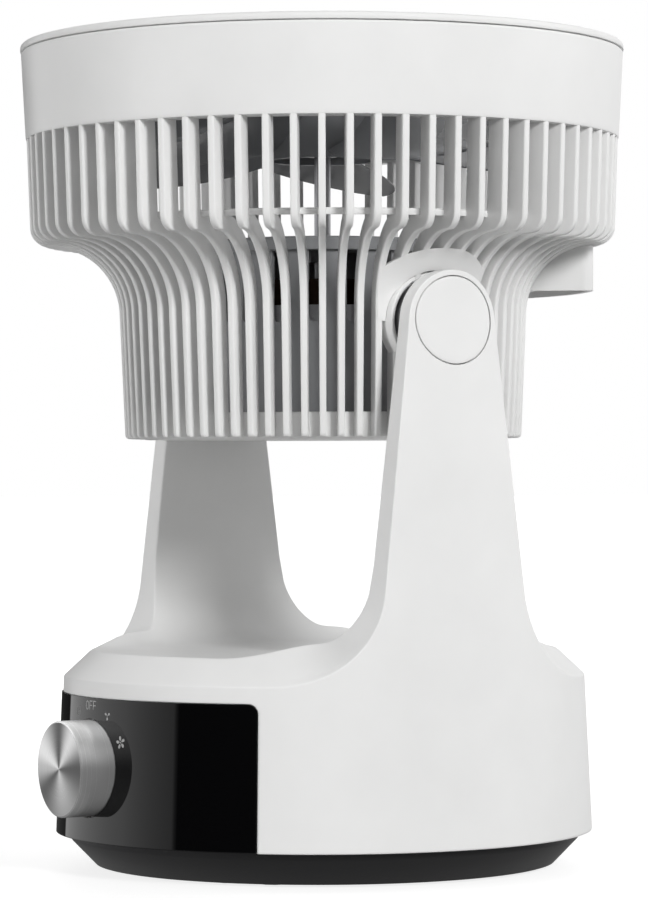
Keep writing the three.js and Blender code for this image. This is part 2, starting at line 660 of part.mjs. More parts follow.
function makeDrumContents() {
  const floorZ = PAN_Z + PAN_WALL + FIT;
  piece('ballast_plate', ring(BALLAST_BORE_R, BALLAST_R, floorZ, floorZ + BALLAST_THICKNESS, 24), STEEL);

  const [width, thickness, height] = BOARD_SIZE;
  const boardY = -(KNOB_FLOOR_Y - PAD_WALL - SWITCH_SIZE[1]) + BOARD_GAP;
  piece('control_board', box(-width / 2, width / 2, boardY, boardY + thickness,
    KNOB_Z - height / 2, KNOB_Z + height / 2), GREEN);
  const postTop = floorZ + BALLAST_THICKNESS + FIT;
  const bracket = join(
    box(-width / 2, width / 2, boardY + thickness + FIT, boardY + thickness + FIT + BRACKET_WALL,
      floorZ, KNOB_Z + height / 2),
    box(-width / 2, width / 2, boardY + thickness + FIT, boardY + thickness + BRACKET_FOOT,
      floorZ, floorZ + BRACKET_WALL));
  cutPiece('board_bracket', bracket, GREY);

  const [long, deep, tall] = CAPACITOR_SIZE;
  piece('run_capacitor', box(
    -long / 2, long / 2, CAPACITOR_Y, CAPACITOR_Y + deep, postTop, postTop + tall), BLACK);

  const wall = drumRadius(GLAND_Z);
  const seat = wall + FIT;
  piece('cord_gland', turned([
    [GLAND_BORE_R, wall - SKIN - FIT], [GLAND_R, wall - SKIN - FIT], [GLAND_R, seat],
    [GLAND_FLANGE_R, seat], [GLAND_FLANGE_R, seat + GLAND_FLANGE],
    [GLAND_BORE_R, seat + GLAND_FLANGE],
  ], 16).rotateX(-PI / 2).translate(0, 0, GLAND_Z), RUBBER);
}

// ---------- the pivots ----------
function makePivots() {
  const armX = ARM_GAP + ARM_LEAN * (PIVOT_Z - TOP_Z - SADDLE_R);
  const armInside = armX + COVER_WALL;
  const washerX = armInside + FIT;
  const nutX = washerX + WASHER_THICKNESS + FIT;
  const nutEnd = nutX + PIVOT_NUT_THICKNESS;
  const hubBack = BOSS_FACE_X + FIT;
  const shaftBack = BOSS_FACE_X - BOSS_DEPTH + BOSS_FLOOR;
  const boreR = PIVOT_SHAFT_R + FIT;
  for (const [side, name] of [[1, 'near'], [-1, 'far']]) {
    const place = (geometry) => alongX(geometry).rotateZ(side > 0 ? 0 : PI);
    piece(`pivot_hub_${name}`, place(turned([
      [boreR, hubBack], [HUB_R, hubBack], [HUB_R, HUB_FACE_X], [JOURNAL_R, HUB_FACE_X],
      [JOURNAL_R, washerX], [boreR, washerX],
    ], 20)), GREY);
    piece(`pivot_shaft_${name}`, place(disc(PIVOT_SHAFT_R, shaftBack, nutEnd, 12)), STEEL);
    piece(`friction_washer_${name}`, place(
      ring(JOURNAL_R + 1, PIVOT_NUT_R + 1, washerX, washerX + WASHER_THICKNESS, 12)), GREY);
    piece(`pivot_nut_${name}`, place(hexNut(boreR, PIVOT_NUT_R, nutX, nutEnd)), STEEL);
  }
}

// ---------- the head ----------
// The concave curve under the head, from the neck outwards, moved away from the slats by grow.
function flareLine(grow) {
  const radius = FLARE_R - grow / cos(PI / 4 / FLARE_STEPS);
  return arc(FLARE_CENTRE_R, FLARE_Z, radius, 180, 90, FLARE_STEPS);
}

function slatOutline() {
  const neckInner = NECK_TOP_R - NECK_DEPTH;
  const innerFlare = FLARE_CENTRE_R - neckInner;
  const shoulderInner = SHOULDER_R - SLAT_DEPTH;
  const innerTop = THREE.MathUtils.radToDeg(Math.acos((shoulderInner - FLARE_CENTRE_R) / innerFlare));
  return [
    [DISH_R - DISH_WALL / 2, HEAD_Z], [NECK_BOTTOM_R, HEAD_Z],
    ...flareLine(0).slice(0, -1),
    [SHOULDER_R - CORNER_R, FLARE_TOP_Z], [SHOULDER_R, CORNER_Z],
    [BAND_BOTTOM_R - SLOT_INSET, BAND_Z + SLAT_TUCK],
    [BAND_BOTTOM_R - SLAT_DEPTH, BAND_Z + SLAT_TUCK],
    ...arc(FLARE_CENTRE_R, FLARE_Z, innerFlare, innerTop, 180, 2),
  ];
}

// Radius of the slats' outer edge at a height on the neck or the flare.
function slatRadius(z) {
  if (z < FLARE_Z) return lerp(NECK_BOTTOM_R, NECK_TOP_R, (z - HEAD_Z) / (FLARE_Z - HEAD_Z));
  return FLARE_CENTRE_R - sqrt(FLARE_R ** 2 - (z - FLARE_Z) ** 2);
}

// The plate that fills the space between the slats around a pivot.
function ear(side) {
  const halfAngle = EAR_SLATS * PITCH;
  const high = Math.min(PIVOT_Z + EAR_R, FLARE_TOP_Z - 1);
  const outer = [[slatRadius(PIVOT_Z) + EAR_PROUD, PIVOT_Z],
    ...flareLine(EAR_PROUD).filter(([, z]) => z < high), crossing(flareLine(EAR_PROUD), 1, high)];
  const inner = outer.map(([r, z]) => [r - EAR_THICKNESS, z]).reverse();
  const around = Array.from({ length: EAR_SLATS + 1 }, (_, i) => (
    rad(lerp(-halfAngle, halfAngle, i / EAR_SLATS))));
  const section = [...outer, ...inner].reverse();
  const plate = toSolid(loft(
    around.map((a) => section.map(([r, z]) => [r * cos(a), r * sin(a), z])), section));
  const dome = toSolid(alongX(disc(EAR_R, 0, SHOULDER_R, 24)));
  return plate.intersect(dome).rotate([0, 0, side > 0 ? 0 : 180]);
}

function makeRearGrille() {
  const halfPitch = rad(PITCH / 2);
  const shelfR = BAND_BOTTOM_R - SLAT_DEPTH - 0.5;
  const band = turned([
    [shelfR, BAND_Z], [BAND_BOTTOM_R, BAND_Z], [BAND_TOP_R, BAND_TOP_Z - FIT],
    [BAND_TOP_R - BAND_WALL, BAND_TOP_Z - FIT], [BAND_BOTTOM_R - BAND_WALL, BAND_Z + SHELF],
    [shelfR, BAND_Z + SHELF],
  ], SLAT_COUNT, halfPitch);
  const seatR = BEARING_R + FIT;
  const dish = turned([
    [0, DISH_Z], [DISH_R, DISH_Z], [DISH_R, DISH_Z + DISH_RIM], [DISH_R - DISH_WALL, DISH_Z + DISH_RIM],
    [DISH_R - DISH_WALL, DISH_Z + DISH_WALL], [0, DISH_Z + DISH_WALL],
  ], SLAT_COUNT / 2, halfPitch);
  const seat = ring(seatR, seatR + BEARING_SEAT, DISH_Z + DISH_WALL / 2,
    DISH_Z + DISH_WALL + BEARING_HEIGHT, 20);
  const slat = plateXZ(slatOutline(), SLAT_WIDTH);
  const slats = Array.from({ length: SLAT_COUNT }, (_, i) => (
    toSolid(slat.clone().rotateZ(rad(i * PITCH)))));
  let grille = wasm.Manifold.union([
    toSolid(band), toSolid(dish), toSolid(seat), ...slats, ear(1), ear(-1)]);
  const bossBack = BOSS_FACE_X - BOSS_DEPTH;
  const rimX = HUB_FACE_X - RIM_DROP;
  // each step is a disc of some radius from one distance along the tilt axis to another
  const step = (r, from, to, segments) => wasm.Manifold.union([0, 180].map((turn) => (
    toSolid(alongX(disc(r, from, to, segments))).rotate([0, 0, turn]))));
  grille = grille
    .subtract(step(BOSS_R + BOSS_GROOVE, rimX - BOSS_GROOVE, SHOULDER_R, 20))
    .add(step(BOSS_R, bossBack, rimX, 20))
    .subtract(step(HUB_R + FIT, BOSS_FACE_X, SHOULDER_R, 20))
    .subtract(step(PIVOT_SHAFT_R + FIT, bossBack + BOSS_FLOOR - FIT, SHOULDER_R, 12));
  const holes = motorScrewPlaces().map(([x, y]) => (
    toSolid(disc(SCREW_R + FIT, DISH_Z + DISH_SCREW_FLOOR, MOTOR_Z + CUT, 8).translate(x, y, 0))));
  grille = grille.subtract(wasm.Manifold.union(holes));
  cutPiece('rear_grille', grille, WHITE);
}

function makeFrontGrille() {
  const skirtR = BAND_TOP_R - BAND_WALL - 2 * FIT;
  const rim = turned([
    [BEZEL_INNER_R, BAND_TOP_Z - BEZEL_SKIRT], [skirtR, BAND_TOP_Z - BEZEL_SKIRT], [skirtR, BAND_TOP_Z],
    [BEZEL_R, BAND_TOP_Z], [BEZEL_R, HEAD_TOP_Z - BEZEL_BEVEL], [BEZEL_R - BEZEL_BEVEL, HEAD_TOP_Z],
    [BEZEL_INNER_R, HEAD_TOP_Z],
  ], 2 * VANE_COUNT, rad(90 / VANE_COUNT));
  const vaneTop = HEAD_TOP_Z - VANE_INSET;
  const vaneBottom = vaneTop - VANE_HEIGHT;
  const middle = ring(RING_R - RING_WIDTH, RING_R, vaneBottom + GRILLE_TUCK, vaneTop - GRILLE_TUCK,
    VANE_COUNT, rad(180 / VANE_COUNT + VANE_SWEEP * 0.25));
  const centre = turned([
    [0, vaneTop - CENTRE_WALL], [CENTRE_R - CENTRE_WALL, vaneTop - CENTRE_WALL],
    [CENTRE_R - CENTRE_WALL, vaneBottom], [CENTRE_R, vaneBottom], [CENTRE_R, vaneTop],
    [0, vaneTop + CENTRE_CROWN],
  ], VANE_COUNT);
  const steps = 2;
  const innerR = CENTRE_R - GRILLE_TUCK;
  const outerR = BEZEL_INNER_R + 0.8 * GRILLE_TUCK;
  const stations = Array.from({ length: steps + 1 }, (_, i) => {
    const t = i / steps;
    const r = lerp(innerR, outerR, t);
    const a = rad(VANE_SWEEP) * t * t;
    const across = VANE_WIDTH / 2 / r;
    const point = (angle, z) => [r * cos(angle), r * sin(angle), z];
    return [
      point(a - across, vaneBottom), point(a - across, vaneTop),
      point(a + across, vaneTop), point(a + across, vaneBottom)].reverse();
  });
  const vane = loft(stations);
  const vanes = Array.from({ length: VANE_COUNT }, (_, i) => (
    toSolid(vane.clone().rotateZ(rad(i * 360 / VANE_COUNT)))));
  cutPiece('front_grille',
    wasm.Manifold.union([toSolid(rim), toSolid(middle), toSolid(centre), ...vanes]), WHITE);
}

// The carry handle's section under the flare, as [radius, height].
function handleSection(outerR, skin, bottomZ) {
  const edge = flareLine(skin);
  const low = crossing(edge, 1, Math.max(bottomZ, FLARE_TOP_Z - HANDLE_DROP));
  const high = crossing(edge, 0, outerR);
  const between = edge.filter(([r, z]) => z > low[1] && r < outerR);
  return [[low[0], bottomZ], [outerR, bottomZ], high, ...between.reverse(), low]
    .filter(([r, z], i, all) => i === 0 || hypot(r - all[i - 1][0], z - all[i - 1][1]) > 0.01)
    .filter(([r, z], i, all) => i === 0 || hypot(r - all[0][0], z - all[0][1]) > 0.01);
}

// A sector of revolution centred on +Y.
function sector(section, halfAngle, steps) {
  const rings = Array.from({ length: steps + 1 }, (_, i) => {
    const a = rad(90 + lerp(-halfAngle, halfAngle, i / steps));
    return section.map(([r, z]) => [r * cos(a), r * sin(a), z]).reverse();
  });
  return loft(rings);
}

function makeCarryHandle() {
  const bottomZ = FLARE_TOP_Z - HANDLE_DROP;
  const halfAngle = HANDLE_SLATS * PITCH;
  const wallAngle = THREE.MathUtils.radToDeg(HANDLE_WALL / HANDLE_R);
  const outline = handleSection(HANDLE_R, FIT, bottomZ);
  const pocket = handleSection(HANDLE_R - HANDLE_WALL, FIT + HANDLE_SKIN, bottomZ - CUT);
  const solid = toSolid(sector(outline, halfAngle, HANDLE_SLATS * 2));
  cutPiece('carry_handle',
    cut(solid, sector(pocket, halfAngle - wallAngle, HANDLE_SLATS * 2)), WHITE);
}

// ---------- the motor ----------
function motorScrewPlaces() {
  return [45, 135, 225, 315].map((a) => [MOTOR_SCREW_R * cos(rad(a)), MOTOR_SCREW_R * sin(rad(a))]);
}

function makeMotor() {
  const innerR = MOTOR_R - MOTOR_WALL;
  const lidZ = MOTOR_TOP_Z - MOTOR_WALL;
  const seatR = BEARING_R + FIT;
  const bearingZ = lidZ - BEARING_HEIGHT - FIT;
  const housing = toSolid(turned([
    [0, lidZ], [innerR, lidZ], [innerR, MOTOR_Z], [MOTOR_FOOT_R, MOTOR_Z],
    [MOTOR_FOOT_R, MOTOR_Z + MOTOR_FOOT], [MOTOR_R, MOTOR_Z + MOTOR_FOOT],
    [MOTOR_R, MOTOR_TOP_Z - MOTOR_FLANGE], [MOTOR_FLANGE_R, MOTOR_TOP_Z - MOTOR_FLANGE],
    [MOTOR_FLANGE_R, MOTOR_TOP_Z], [0, MOTOR_TOP_Z],
  ], 2 * MOTOR_SLOTS)).add(toSolid(ring(seatR, seatR + BEARING_SEAT, bearingZ, lidZ + 1, 16)));
  const slotTop = MOTOR_TOP_Z - MOTOR_FLANGE;
  const slotBottom = slotTop - MOTOR_SLOT_HEIGHT + MOTOR_SLOT_WIDTH / 2;
  const half = MOTOR_SLOT_WIDTH / 2;
  const slot = plateYZ(
    [...arc(0, slotBottom, half, 180, 360, 2), [half, slotTop], [-half, slotTop]],
    innerR - CUT, MOTOR_R + CUT);
  const slots = Array.from({ length: MOTOR_SLOTS }, (_, i) => (
    slot.clone().rotateZ(rad((i + 0.25) * 360 / MOTOR_SLOTS))));
  const holes = motorScrewPlaces().map(([x, y]) => (
    disc(SCREW_R + FIT, MOTOR_Z - CUT, MOTOR_Z + MOTOR_FOOT + CUT, 8).translate(x, y, 0)));
  const shaftHole = disc(SHAFT_BORE_R + 1, lidZ - 1, MOTOR_TOP_Z + CUT, 12);
  cutPiece('motor_housing', cut(housing, ...slots, ...holes, shaftHole), GREY);

  const headZ = MOTOR_Z + MOTOR_FOOT + FIT;
  const length = MOTOR_FOOT + 2 * FIT + DISH_WALL - 2 * DISH_SCREW_FLOOR;
  motorScrewPlaces().forEach(([x, y], i) => {
    const flipped = screw(0, length).rotateX(PI).translate(x, y, headZ + SCREW_HEAD_HEIGHT);
    piece(`motor_screw_${i + 1}`, flipped, STEEL);
  });

  const statorZ = MOTOR_Z + STATOR_Z;
  const statorTop = statorZ + STATOR_HEIGHT;
  piece('motor_stator', ring(STATOR_BORE_R, innerR - FIT, statorZ, statorTop, 24), STEEL);
  const winding = (z) => ring(STATOR_BORE_R + WINDING_INSET, WINDING_R, z, z + WINDING_HEIGHT, 16);
  piece('winding_lower', winding(statorZ - FIT - WINDING_HEIGHT), COPPER);
  piece('winding_upper', winding(statorTop + FIT), COPPER);
  const lowerSeat = DISH_Z + DISH_WALL + FIT;
  const bearing = (z) => ring(SHAFT_BORE_R, BEARING_R, z, z + BEARING_HEIGHT, 12);
  piece('bearing_lower', bearing(lowerSeat), STEEL);
  piece('bearing_upper', bearing(lidZ - FIT - BEARING_HEIGHT), STEEL);
  piece('rotor_core', ring(SHAFT_BORE_R, STATOR_BORE_R - AIR_GAP, statorZ, statorTop, 16), STEEL);
  piece('motor_shaft', disc(SHAFT_R, lowerSeat + FIT, HUB_TOP_Z + SHAFT_STUB, 12), STEEL);
}

// ---------- the propeller ----------
// One blade: a twisted, cambered sheet with thickness, as a loft of closed sections.
function blade() {
  const radialSteps = 5;
  const chordSteps = 4;
  const rootR = PROPELLER_HUB_R - PROPELLER_WALL / 2;
  const middleZ = HUB_Z + PROPELLER_HUB_HEIGHT / 2;
  const section = (s) => {
    const r = lerp(rootR, PROPELLER_R, s);
    const span = rad(lerp(BLADE_ROOT_ANGLE, BLADE_TIP_ANGLE, s));
    const rise = lerp(BLADE_ROOT_RISE, BLADE_TIP_RISE, sin(s * PI / 2));
    const lead = rad(BLADE_SWEEP) * s * s;
    const sheet = (side) => Array.from({ length: chordSteps + 1 }, (_, i) => {
      const t = i / chordSteps;
      const camber = 0.12 * rise * sin(t * PI);
      const thin = BLADE_THICKNESS * (0.35 + 0.65 * sin(t * PI)) / 2;
      const a = lead + (t - 0.5) * span;
      return [r * cos(a), r * sin(a), middleZ + (t - 0.5) * rise - camber + side * thin];
    });
    return [...sheet(-1), ...sheet(1).reverse()];
  };
  return loft(Array.from({ length: radialSteps + 1 }, (_, i) => section(i / radialSteps)));
}

function makePropeller() {
  const innerR = PROPELLER_HUB_R - PROPELLER_WALL;
  const lidZ = HUB_TOP_Z - PROPELLER_WALL;
  const bossZ = HUB_Z + PROPELLER_BOSS_INSET;
  const bossR = SHAFT_BORE_R + PROPELLER_BOSS_WALL;
  const hub = turned([
    [SHAFT_BORE_R, bossZ], [bossR, bossZ], [bossR, lidZ], [innerR, lidZ], [innerR, HUB_Z],
    [PROPELLER_HUB_R, HUB_Z], [PROPELLER_HUB_R, HUB_TOP_Z], [SHAFT_BORE_R, HUB_TOP_Z],
  ], 25);
  const bore = disc(innerR, HUB_Z - CUT, lidZ, 25);
  const one = toSolid(blade()).subtract(toSolid(bore));
  const blades = Array.from({ length: BLADE_COUNT }, (_, i) => one.rotate([0, 0, i * 360 / BLADE_COUNT]));
  cutPiece('propeller', wasm.Manifold.union([toSolid(hub), ...blades]), GREY);

  const nutZ = HUB_TOP_Z + FIT;
  const boreTop = HUB_TOP_Z + SHAFT_STUB + FIT;
  piece('hub_nut', turned([
    [0, boreTop], [SHAFT_BORE_R, boreTop], [SHAFT_BORE_R, nutZ], [NUT_R, nutZ], [NUT_R, nutZ + NUT_SIDE],
    [NUT_R - NUT_BEVEL, nutZ + NUT_HEIGHT], [0, nutZ + NUT_HEIGHT],
  ], 16), BLACK);
}

makeBasePan();
makeFeet();
makePanScrews();
makeBodyShell();
makeSaddleCover();
makePivotCaps();
makeControls();
makeDrumContents();
makePivots();
makeRearGrille();
makeFrontGrille();
makeCarryHandle();
makeMotor();
makePropeller();

export default model;
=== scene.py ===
"""The looks of a desk air circulator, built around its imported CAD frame.

Lengths are in millimetres in the row frame until a mesh is made. The head points up at
rest, the controls face -Y and the two pivots lie on the X axis.
"""
import json
import math

import bmesh
import bpy
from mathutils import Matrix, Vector


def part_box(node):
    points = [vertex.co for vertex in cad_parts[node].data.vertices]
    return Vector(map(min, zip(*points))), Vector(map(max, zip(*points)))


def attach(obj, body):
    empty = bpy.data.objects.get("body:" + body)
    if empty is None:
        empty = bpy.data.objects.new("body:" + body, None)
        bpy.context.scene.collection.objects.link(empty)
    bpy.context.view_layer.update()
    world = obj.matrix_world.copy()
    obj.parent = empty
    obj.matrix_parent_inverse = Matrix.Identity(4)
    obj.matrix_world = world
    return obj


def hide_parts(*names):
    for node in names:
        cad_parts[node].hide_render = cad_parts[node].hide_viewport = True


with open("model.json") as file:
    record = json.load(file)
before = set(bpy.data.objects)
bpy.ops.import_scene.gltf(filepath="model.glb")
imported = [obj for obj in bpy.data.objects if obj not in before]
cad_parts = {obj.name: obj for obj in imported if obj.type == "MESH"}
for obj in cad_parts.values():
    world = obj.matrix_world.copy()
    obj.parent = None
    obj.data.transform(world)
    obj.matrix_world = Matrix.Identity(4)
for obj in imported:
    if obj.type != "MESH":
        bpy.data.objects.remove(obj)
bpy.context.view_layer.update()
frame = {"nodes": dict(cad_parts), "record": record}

MM = 0.001
FIT = 0.3  # gap between two pieces that fit together

# ---------- sizes, as in the CAD ----------
DRUM_Z = 16.0
DRUM_R = 124.5
DRUM_DRAFT = 0.0446
EDGE_Z = 88.3
TOP_Z = 100.3
CHAMFER = (12.9, 12.0)  # inwards and upwards
PIVOT_Z = 249.2
ARM_END_R = 22.3
ARM_TAPER = 0.117
ARM_FLARE_R = 46.0
ARM_GAP = 101.0
ARM_LEAN = 0.016
SADDLE_R = 40.0
PANEL_HALF_ANGLE = 45.4
PANEL_TOP_Z = 81.0
PANEL_CORNER_R = 4.5
PANEL_PROUD = 0.6
KNOB_WELL_R = 22.4
KNOB_SHAFT_R = 4.8
KNOB_Z = 49.4
KNOB_R = 21.7
KNOB_FRONT = 138.6
KNOB_BACK = 119.1
CAP_R = 19.35
CAP_GAP = 0.55
TRUNNION_R = 9.3
GLAND_Z = 32.0
GLAND_R = 5.5
HEAD_Z = 198.0
NECK_BOTTOM_R = 92.4
NECK_TOP_R = 94.8
FLARE_Z = 255.0
FLARE_R = 33.0
FLARE_TOP_Z = 288.0
FLARE_CENTRE_R = 127.8
SHOULDER_R = 136.3
CORNER_R = 8.0
BAND_Z = 336.8
BAND_TOP_Z = 377.4
BAND_BOTTOM_R = 138.2
BAND_TOP_R = 140.3
HEAD_TOP_Z = 380.9
SLATS = 70
PITCH = math.tau / SLATS
HUB_Z = 327.5
HUB_TOP_Z = 351.5
BLADES = 5
SLAT_DEPTH = 11.5
HOOP_R = 124.6
HOOP_Z = 295.7


# ---------- geometry ----------
def lerp(a, b, t):
    return a + (b - a) * t


def arc(cx, cy, r, start, end, steps):
    """Points of an arc, angles in degrees, both ends included."""
    angles = [math.radians(lerp(start, end, i / steps)) for i in range(steps + 1)]
    return [(cx + r * math.cos(a), cy + r * math.sin(a)) for a in angles]


def rounded(points, radius, steps=4, closed=True):
    """A 2-D outline with its corners rounded. radius is one number, or one for each corner."""
    count = len(points)
    radii = radius if isinstance(radius, (list, tuple)) else [radius] * count
    out = []
    for i, (p, r) in enumerate(zip(points, radii)):
        if r <= 0 or (not closed and i in (0, count - 1)):
            out.append(p)
            continue
        here, before, after = (Vector(q) for q in (p, points[i - 1], points[(i + 1) % count]))
        back, ahead = before - here, after - here
        half = back.angle(ahead) / 2
        reach = min(r / max(math.tan(half), 1e-3), back.length * 0.49, ahead.length * 0.49)
        a, b = here + back.normalized() * reach, here + ahead.normalized() * reach
        for k in range(steps + 1):
            t = k / steps
            q = a * (1 - t) ** 2 + here * (2 * t * (1 - t)) + b * t ** 2
            out.append((q.x, q.y))
    return out


def turned(outline, segments=96, start=0.0):
    """Vertices and faces of an outline of (radius, height) turned about Z."""
    closed = all(r > 1e-6 for r, _ in outline)
    verts, rows = [], []
    for r, z in outline:
        if r <= 1e-6:
            rows.append([len(verts)] * segments)
            verts.append((0, 0, z))
            continue
        rows.append([len(verts) + k for k in range(segments)])
        for k in range(segments):
            a = start + math.tau * k / segments
            verts.append((r * math.cos(a), r * math.sin(a), z))
    faces = []
    for i in range(len(rows) if closed else len(rows) - 1):
        low, high = rows[i], rows[(i + 1) % len(rows)]
        for k in range(segments):
            j = (k + 1) % segments
            corners = [low[k], low[j], high[j], high[k]]
            face = [c for n, c in enumerate(corners) if c != corners[n - 1]]
            if len(face) > 2:
                faces.append(face)
    return verts, faces


def rod(radius, bottom, top, segments):
    """A plain cylinder about Z, to cut with."""
    return turned([(0, bottom), (radius, bottom), (radius, top), (0, top)], segments)


def loft(rings, caps=True):
    """Vertices and faces of closed rings of points joined in order."""
    count = len(rings[0])
    verts = [p for ring in rings for p in ring]
    faces = []
    for k in range(len(rings) - 1):
        for i in range(count):
            j = (i + 1) % count
            faces.append([k * count + i, k * count + j, (k + 1) * count + j, (k + 1) * count + i])
    if caps:
        faces.append(list(range(count))[::-1])
        faces.append([(len(rings) - 1) * count + i for i in range(count)])
    return verts, faces


def merged(*shapes):
    verts, faces = [], []
    for v, f in shapes:
        base = len(verts)
        verts += v
        faces += [[base + i for i in face] for face in f]
    return verts, faces


def moved(shape, place):
    return [place(*p) for p in shape[0]], shape[1]


def turn_about_z(angle):
    c, s = math.cos(angle), math.sin(angle)
    return lambda x, y, z: (c * x - s * y, s * x + c * y, z)


def along_x(x, y, z):
    """Turned work laid along the tilt axis: its Z becomes X."""
    return (z, y, PIVOT_Z - x)


def along_minus_x(x, y, z):
    return (-z, -y, PIVOT_Z - x)


def make(name, shape):
    """A mesh object from vertices in mm, with its faces turned outwards."""
    verts, faces = shape
    mesh = bpy.data.meshes.new(name)
    mesh.from_pydata([(x * MM, y * MM, z * MM) for x, y, z in verts], [], faces)
    obj = bpy.data.objects.new(name, mesh)
    bpy.context.scene.collection.objects.link(obj)
    work = bmesh.new()
    work.from_mesh(mesh)
    bmesh.ops.remove_doubles(work, verts=work.verts, dist=1e-7)
    bmesh.ops.recalc_face_normals(work, faces=work.faces)
    work.to_mesh(mesh)
    work.free()
    return obj


def smooth(obj, angle=32):
    """Smooth shading, with edges sharper than the angle kept crisp."""
    work = bmesh.new()
    work.from_mesh(obj.data)
    for face in work.faces:
        face.smooth = True
    for edge in work.edges:
        edge.smooth = not (len(edge.link_faces) == 2 and
                           edge.calc_face_angle(0) > math.radians(angle))
    work.to_mesh(obj.data)
    work.free()


def settle(obj):
    """Makes a piece's modifiers part of its mesh."""
    graph = bpy.context.evaluated_depsgraph_get()
    mesh = bpy.data.meshes.new_from_object(obj.evaluated_get(graph))
    obj.modifiers.clear()
    obj.data = mesh


def boolean(obj, shape, operation="DIFFERENCE"):
    tool = make("tool", shape)
    mod = obj.modifiers.new("cut", "BOOLEAN")
    mod.object, mod.operation, mod.solver = tool, operation, "EXACT"
    settle(obj)
    bpy.data.objects.remove(tool)


def bevel(obj, width, segments=2, angle=40):
    mod = obj.modifiers.new("edges", "BEVEL")
    mod.width, mod.segments = width * MM, segments
    mod.limit_method, mod.angle_limit = "ANGLE", math.radians(angle)
    mod.use_clamp_overlap = True
    settle(obj)


def dress(obj, body, material, replaced=(), angle=32):
    obj.data.materials.clear()
    obj.data.materials.append(material)
    smooth(obj, angle)
    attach(obj, body)
    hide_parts(*replaced)
    return obj


# ---------- materials ----------
def plastic(name, color, roughness, bump=0.02, grain=900.0, mottle=0.03, coat=0.0, metallic=0.0):
    """Moulded plastic or painted metal: fine grain, faint mottling and uneven gloss."""
    material = bpy.data.materials.new(name)
    material.use_nodes = True
    nodes, links = material.node_tree.nodes, material.node_tree.links
    shader = nodes["Principled BSDF"]
    shader.inputs["Metallic"].default_value = metallic
    shader.inputs["Coat Weight"].default_value = coat
    shader.inputs["Coat Roughness"].default_value = 0.12
    place = nodes.new("ShaderNodeTexCoord")
    cloud = nodes.new("ShaderNodeTexNoise")
    cloud.inputs["Scale"].default_value = 26.0
    cloud.inputs["Detail"].default_value = 5.0
    links.new(place.outputs["Object"], cloud.inputs["Vector"])
    tint = nodes.new("ShaderNodeValToRGB")
    tint.color_ramp.elements[0].position, tint.color_ramp.elements[1].position = 0.3, 0.7
    dark, light = 1 - mottle, 1 + mottle * 0.4
    tint.color_ramp.elements[0].color = (*(c * dark for c in color), 1)
    tint.color_ramp.elements[1].color = (*(min(c * light, 1) for c in color), 1)
    links.new(cloud.outputs["Fac"], tint.inputs["Fac"])
    links.new(tint.outputs["Color"], shader.inputs["Base Color"])
    gloss = nodes.new("ShaderNodeMapRange")
    gloss.inputs["To Min"].default_value = roughness * 0.9
    gloss.inputs["To Max"].default_value = min(roughness * 1.12, 1)
    links.new(cloud.outputs["Fac"], gloss.inputs["Value"])
    links.new(gloss.outputs["Result"], shader.inputs["Roughness"])
    fine = nodes.new("ShaderNodeTexNoise")
    fine.inputs["Scale"].default_value = grain
    fine.inputs["Detail"].default_value = 3.0
    links.new(place.outputs["Object"], fine.inputs["Vector"])
    relief = nodes.new("ShaderNodeBump")
    relief.inputs["Strength"].default_value = bump
    relief.inputs["Distance"].default_value = 0.0004
    links.new(fine.outputs["Fac"], relief.inputs["Height"])
    links.new(relief.outputs["Normal"], shader.inputs["Normal"])
    return material


def add_ramp(nodes, stops):
    """A ramp of greys, given as stops of (position, level)."""
    ramp = nodes.new("ShaderNodeValToRGB")
    points = ramp.color_ramp.elements
    points[0].position, points[1].position = stops[0][0], stops[-1][0]
    for position, _ in stops[1:-1]:
        points.new(position)
    for point, (_, level) in zip(points, stops):
        point.color = (level, level, level, 1)
    return ramp


def add_sweep(nodes, links, x, y, stops):
    """Levels of grey by the angle of (x, y), given as stops of (degrees, level)."""
    angle = nodes.new("ShaderNodeMath")
    angle.operation = "ARCTAN2"
    links.new(y, angle.inputs[0])
    links.new(x, angle.inputs[1])
    share = nodes.new("ShaderNodeMapRange")
    share.inputs["From Min"].default_value = -math.pi
    share.inputs["From Max"].default_value = math.pi
    links.new(angle.outputs["Value"], share.inputs["Value"])
    ramp = add_ramp(nodes, [((a + 180) / 360, level) for a, level in stops])
    links.new(share.outputs["Result"], ramp.inputs["Fac"])
    return ramp


def add_turned_lines(nodes, links, split):
    """Fine noise that only changes away from the Y axis and along it."""
    flat = nodes.new("ShaderNodeCombineXYZ")
    links.new(split.outputs["X"], flat.inputs["X"])
    links.new(split.outputs["Z"], flat.inputs["Y"])
    reach = nodes.new("ShaderNodeVectorMath")
    reach.operation = "LENGTH"
    links.new(flat.outputs["Vector"], reach.inputs[0])
    rings = nodes.new("ShaderNodeCombineXYZ")
    links.new(reach.outputs["Value"], rings.inputs["X"])
    links.new(split.outputs["Y"], rings.inputs["Y"])
    lines = nodes.new("ShaderNodeTexNoise")
    lines.inputs["Scale"].default_value = 3200.0
    lines.inputs["Detail"].default_value = 2.0
    links.new(rings.outputs["Vector"], lines.inputs["Vector"])
    return lines


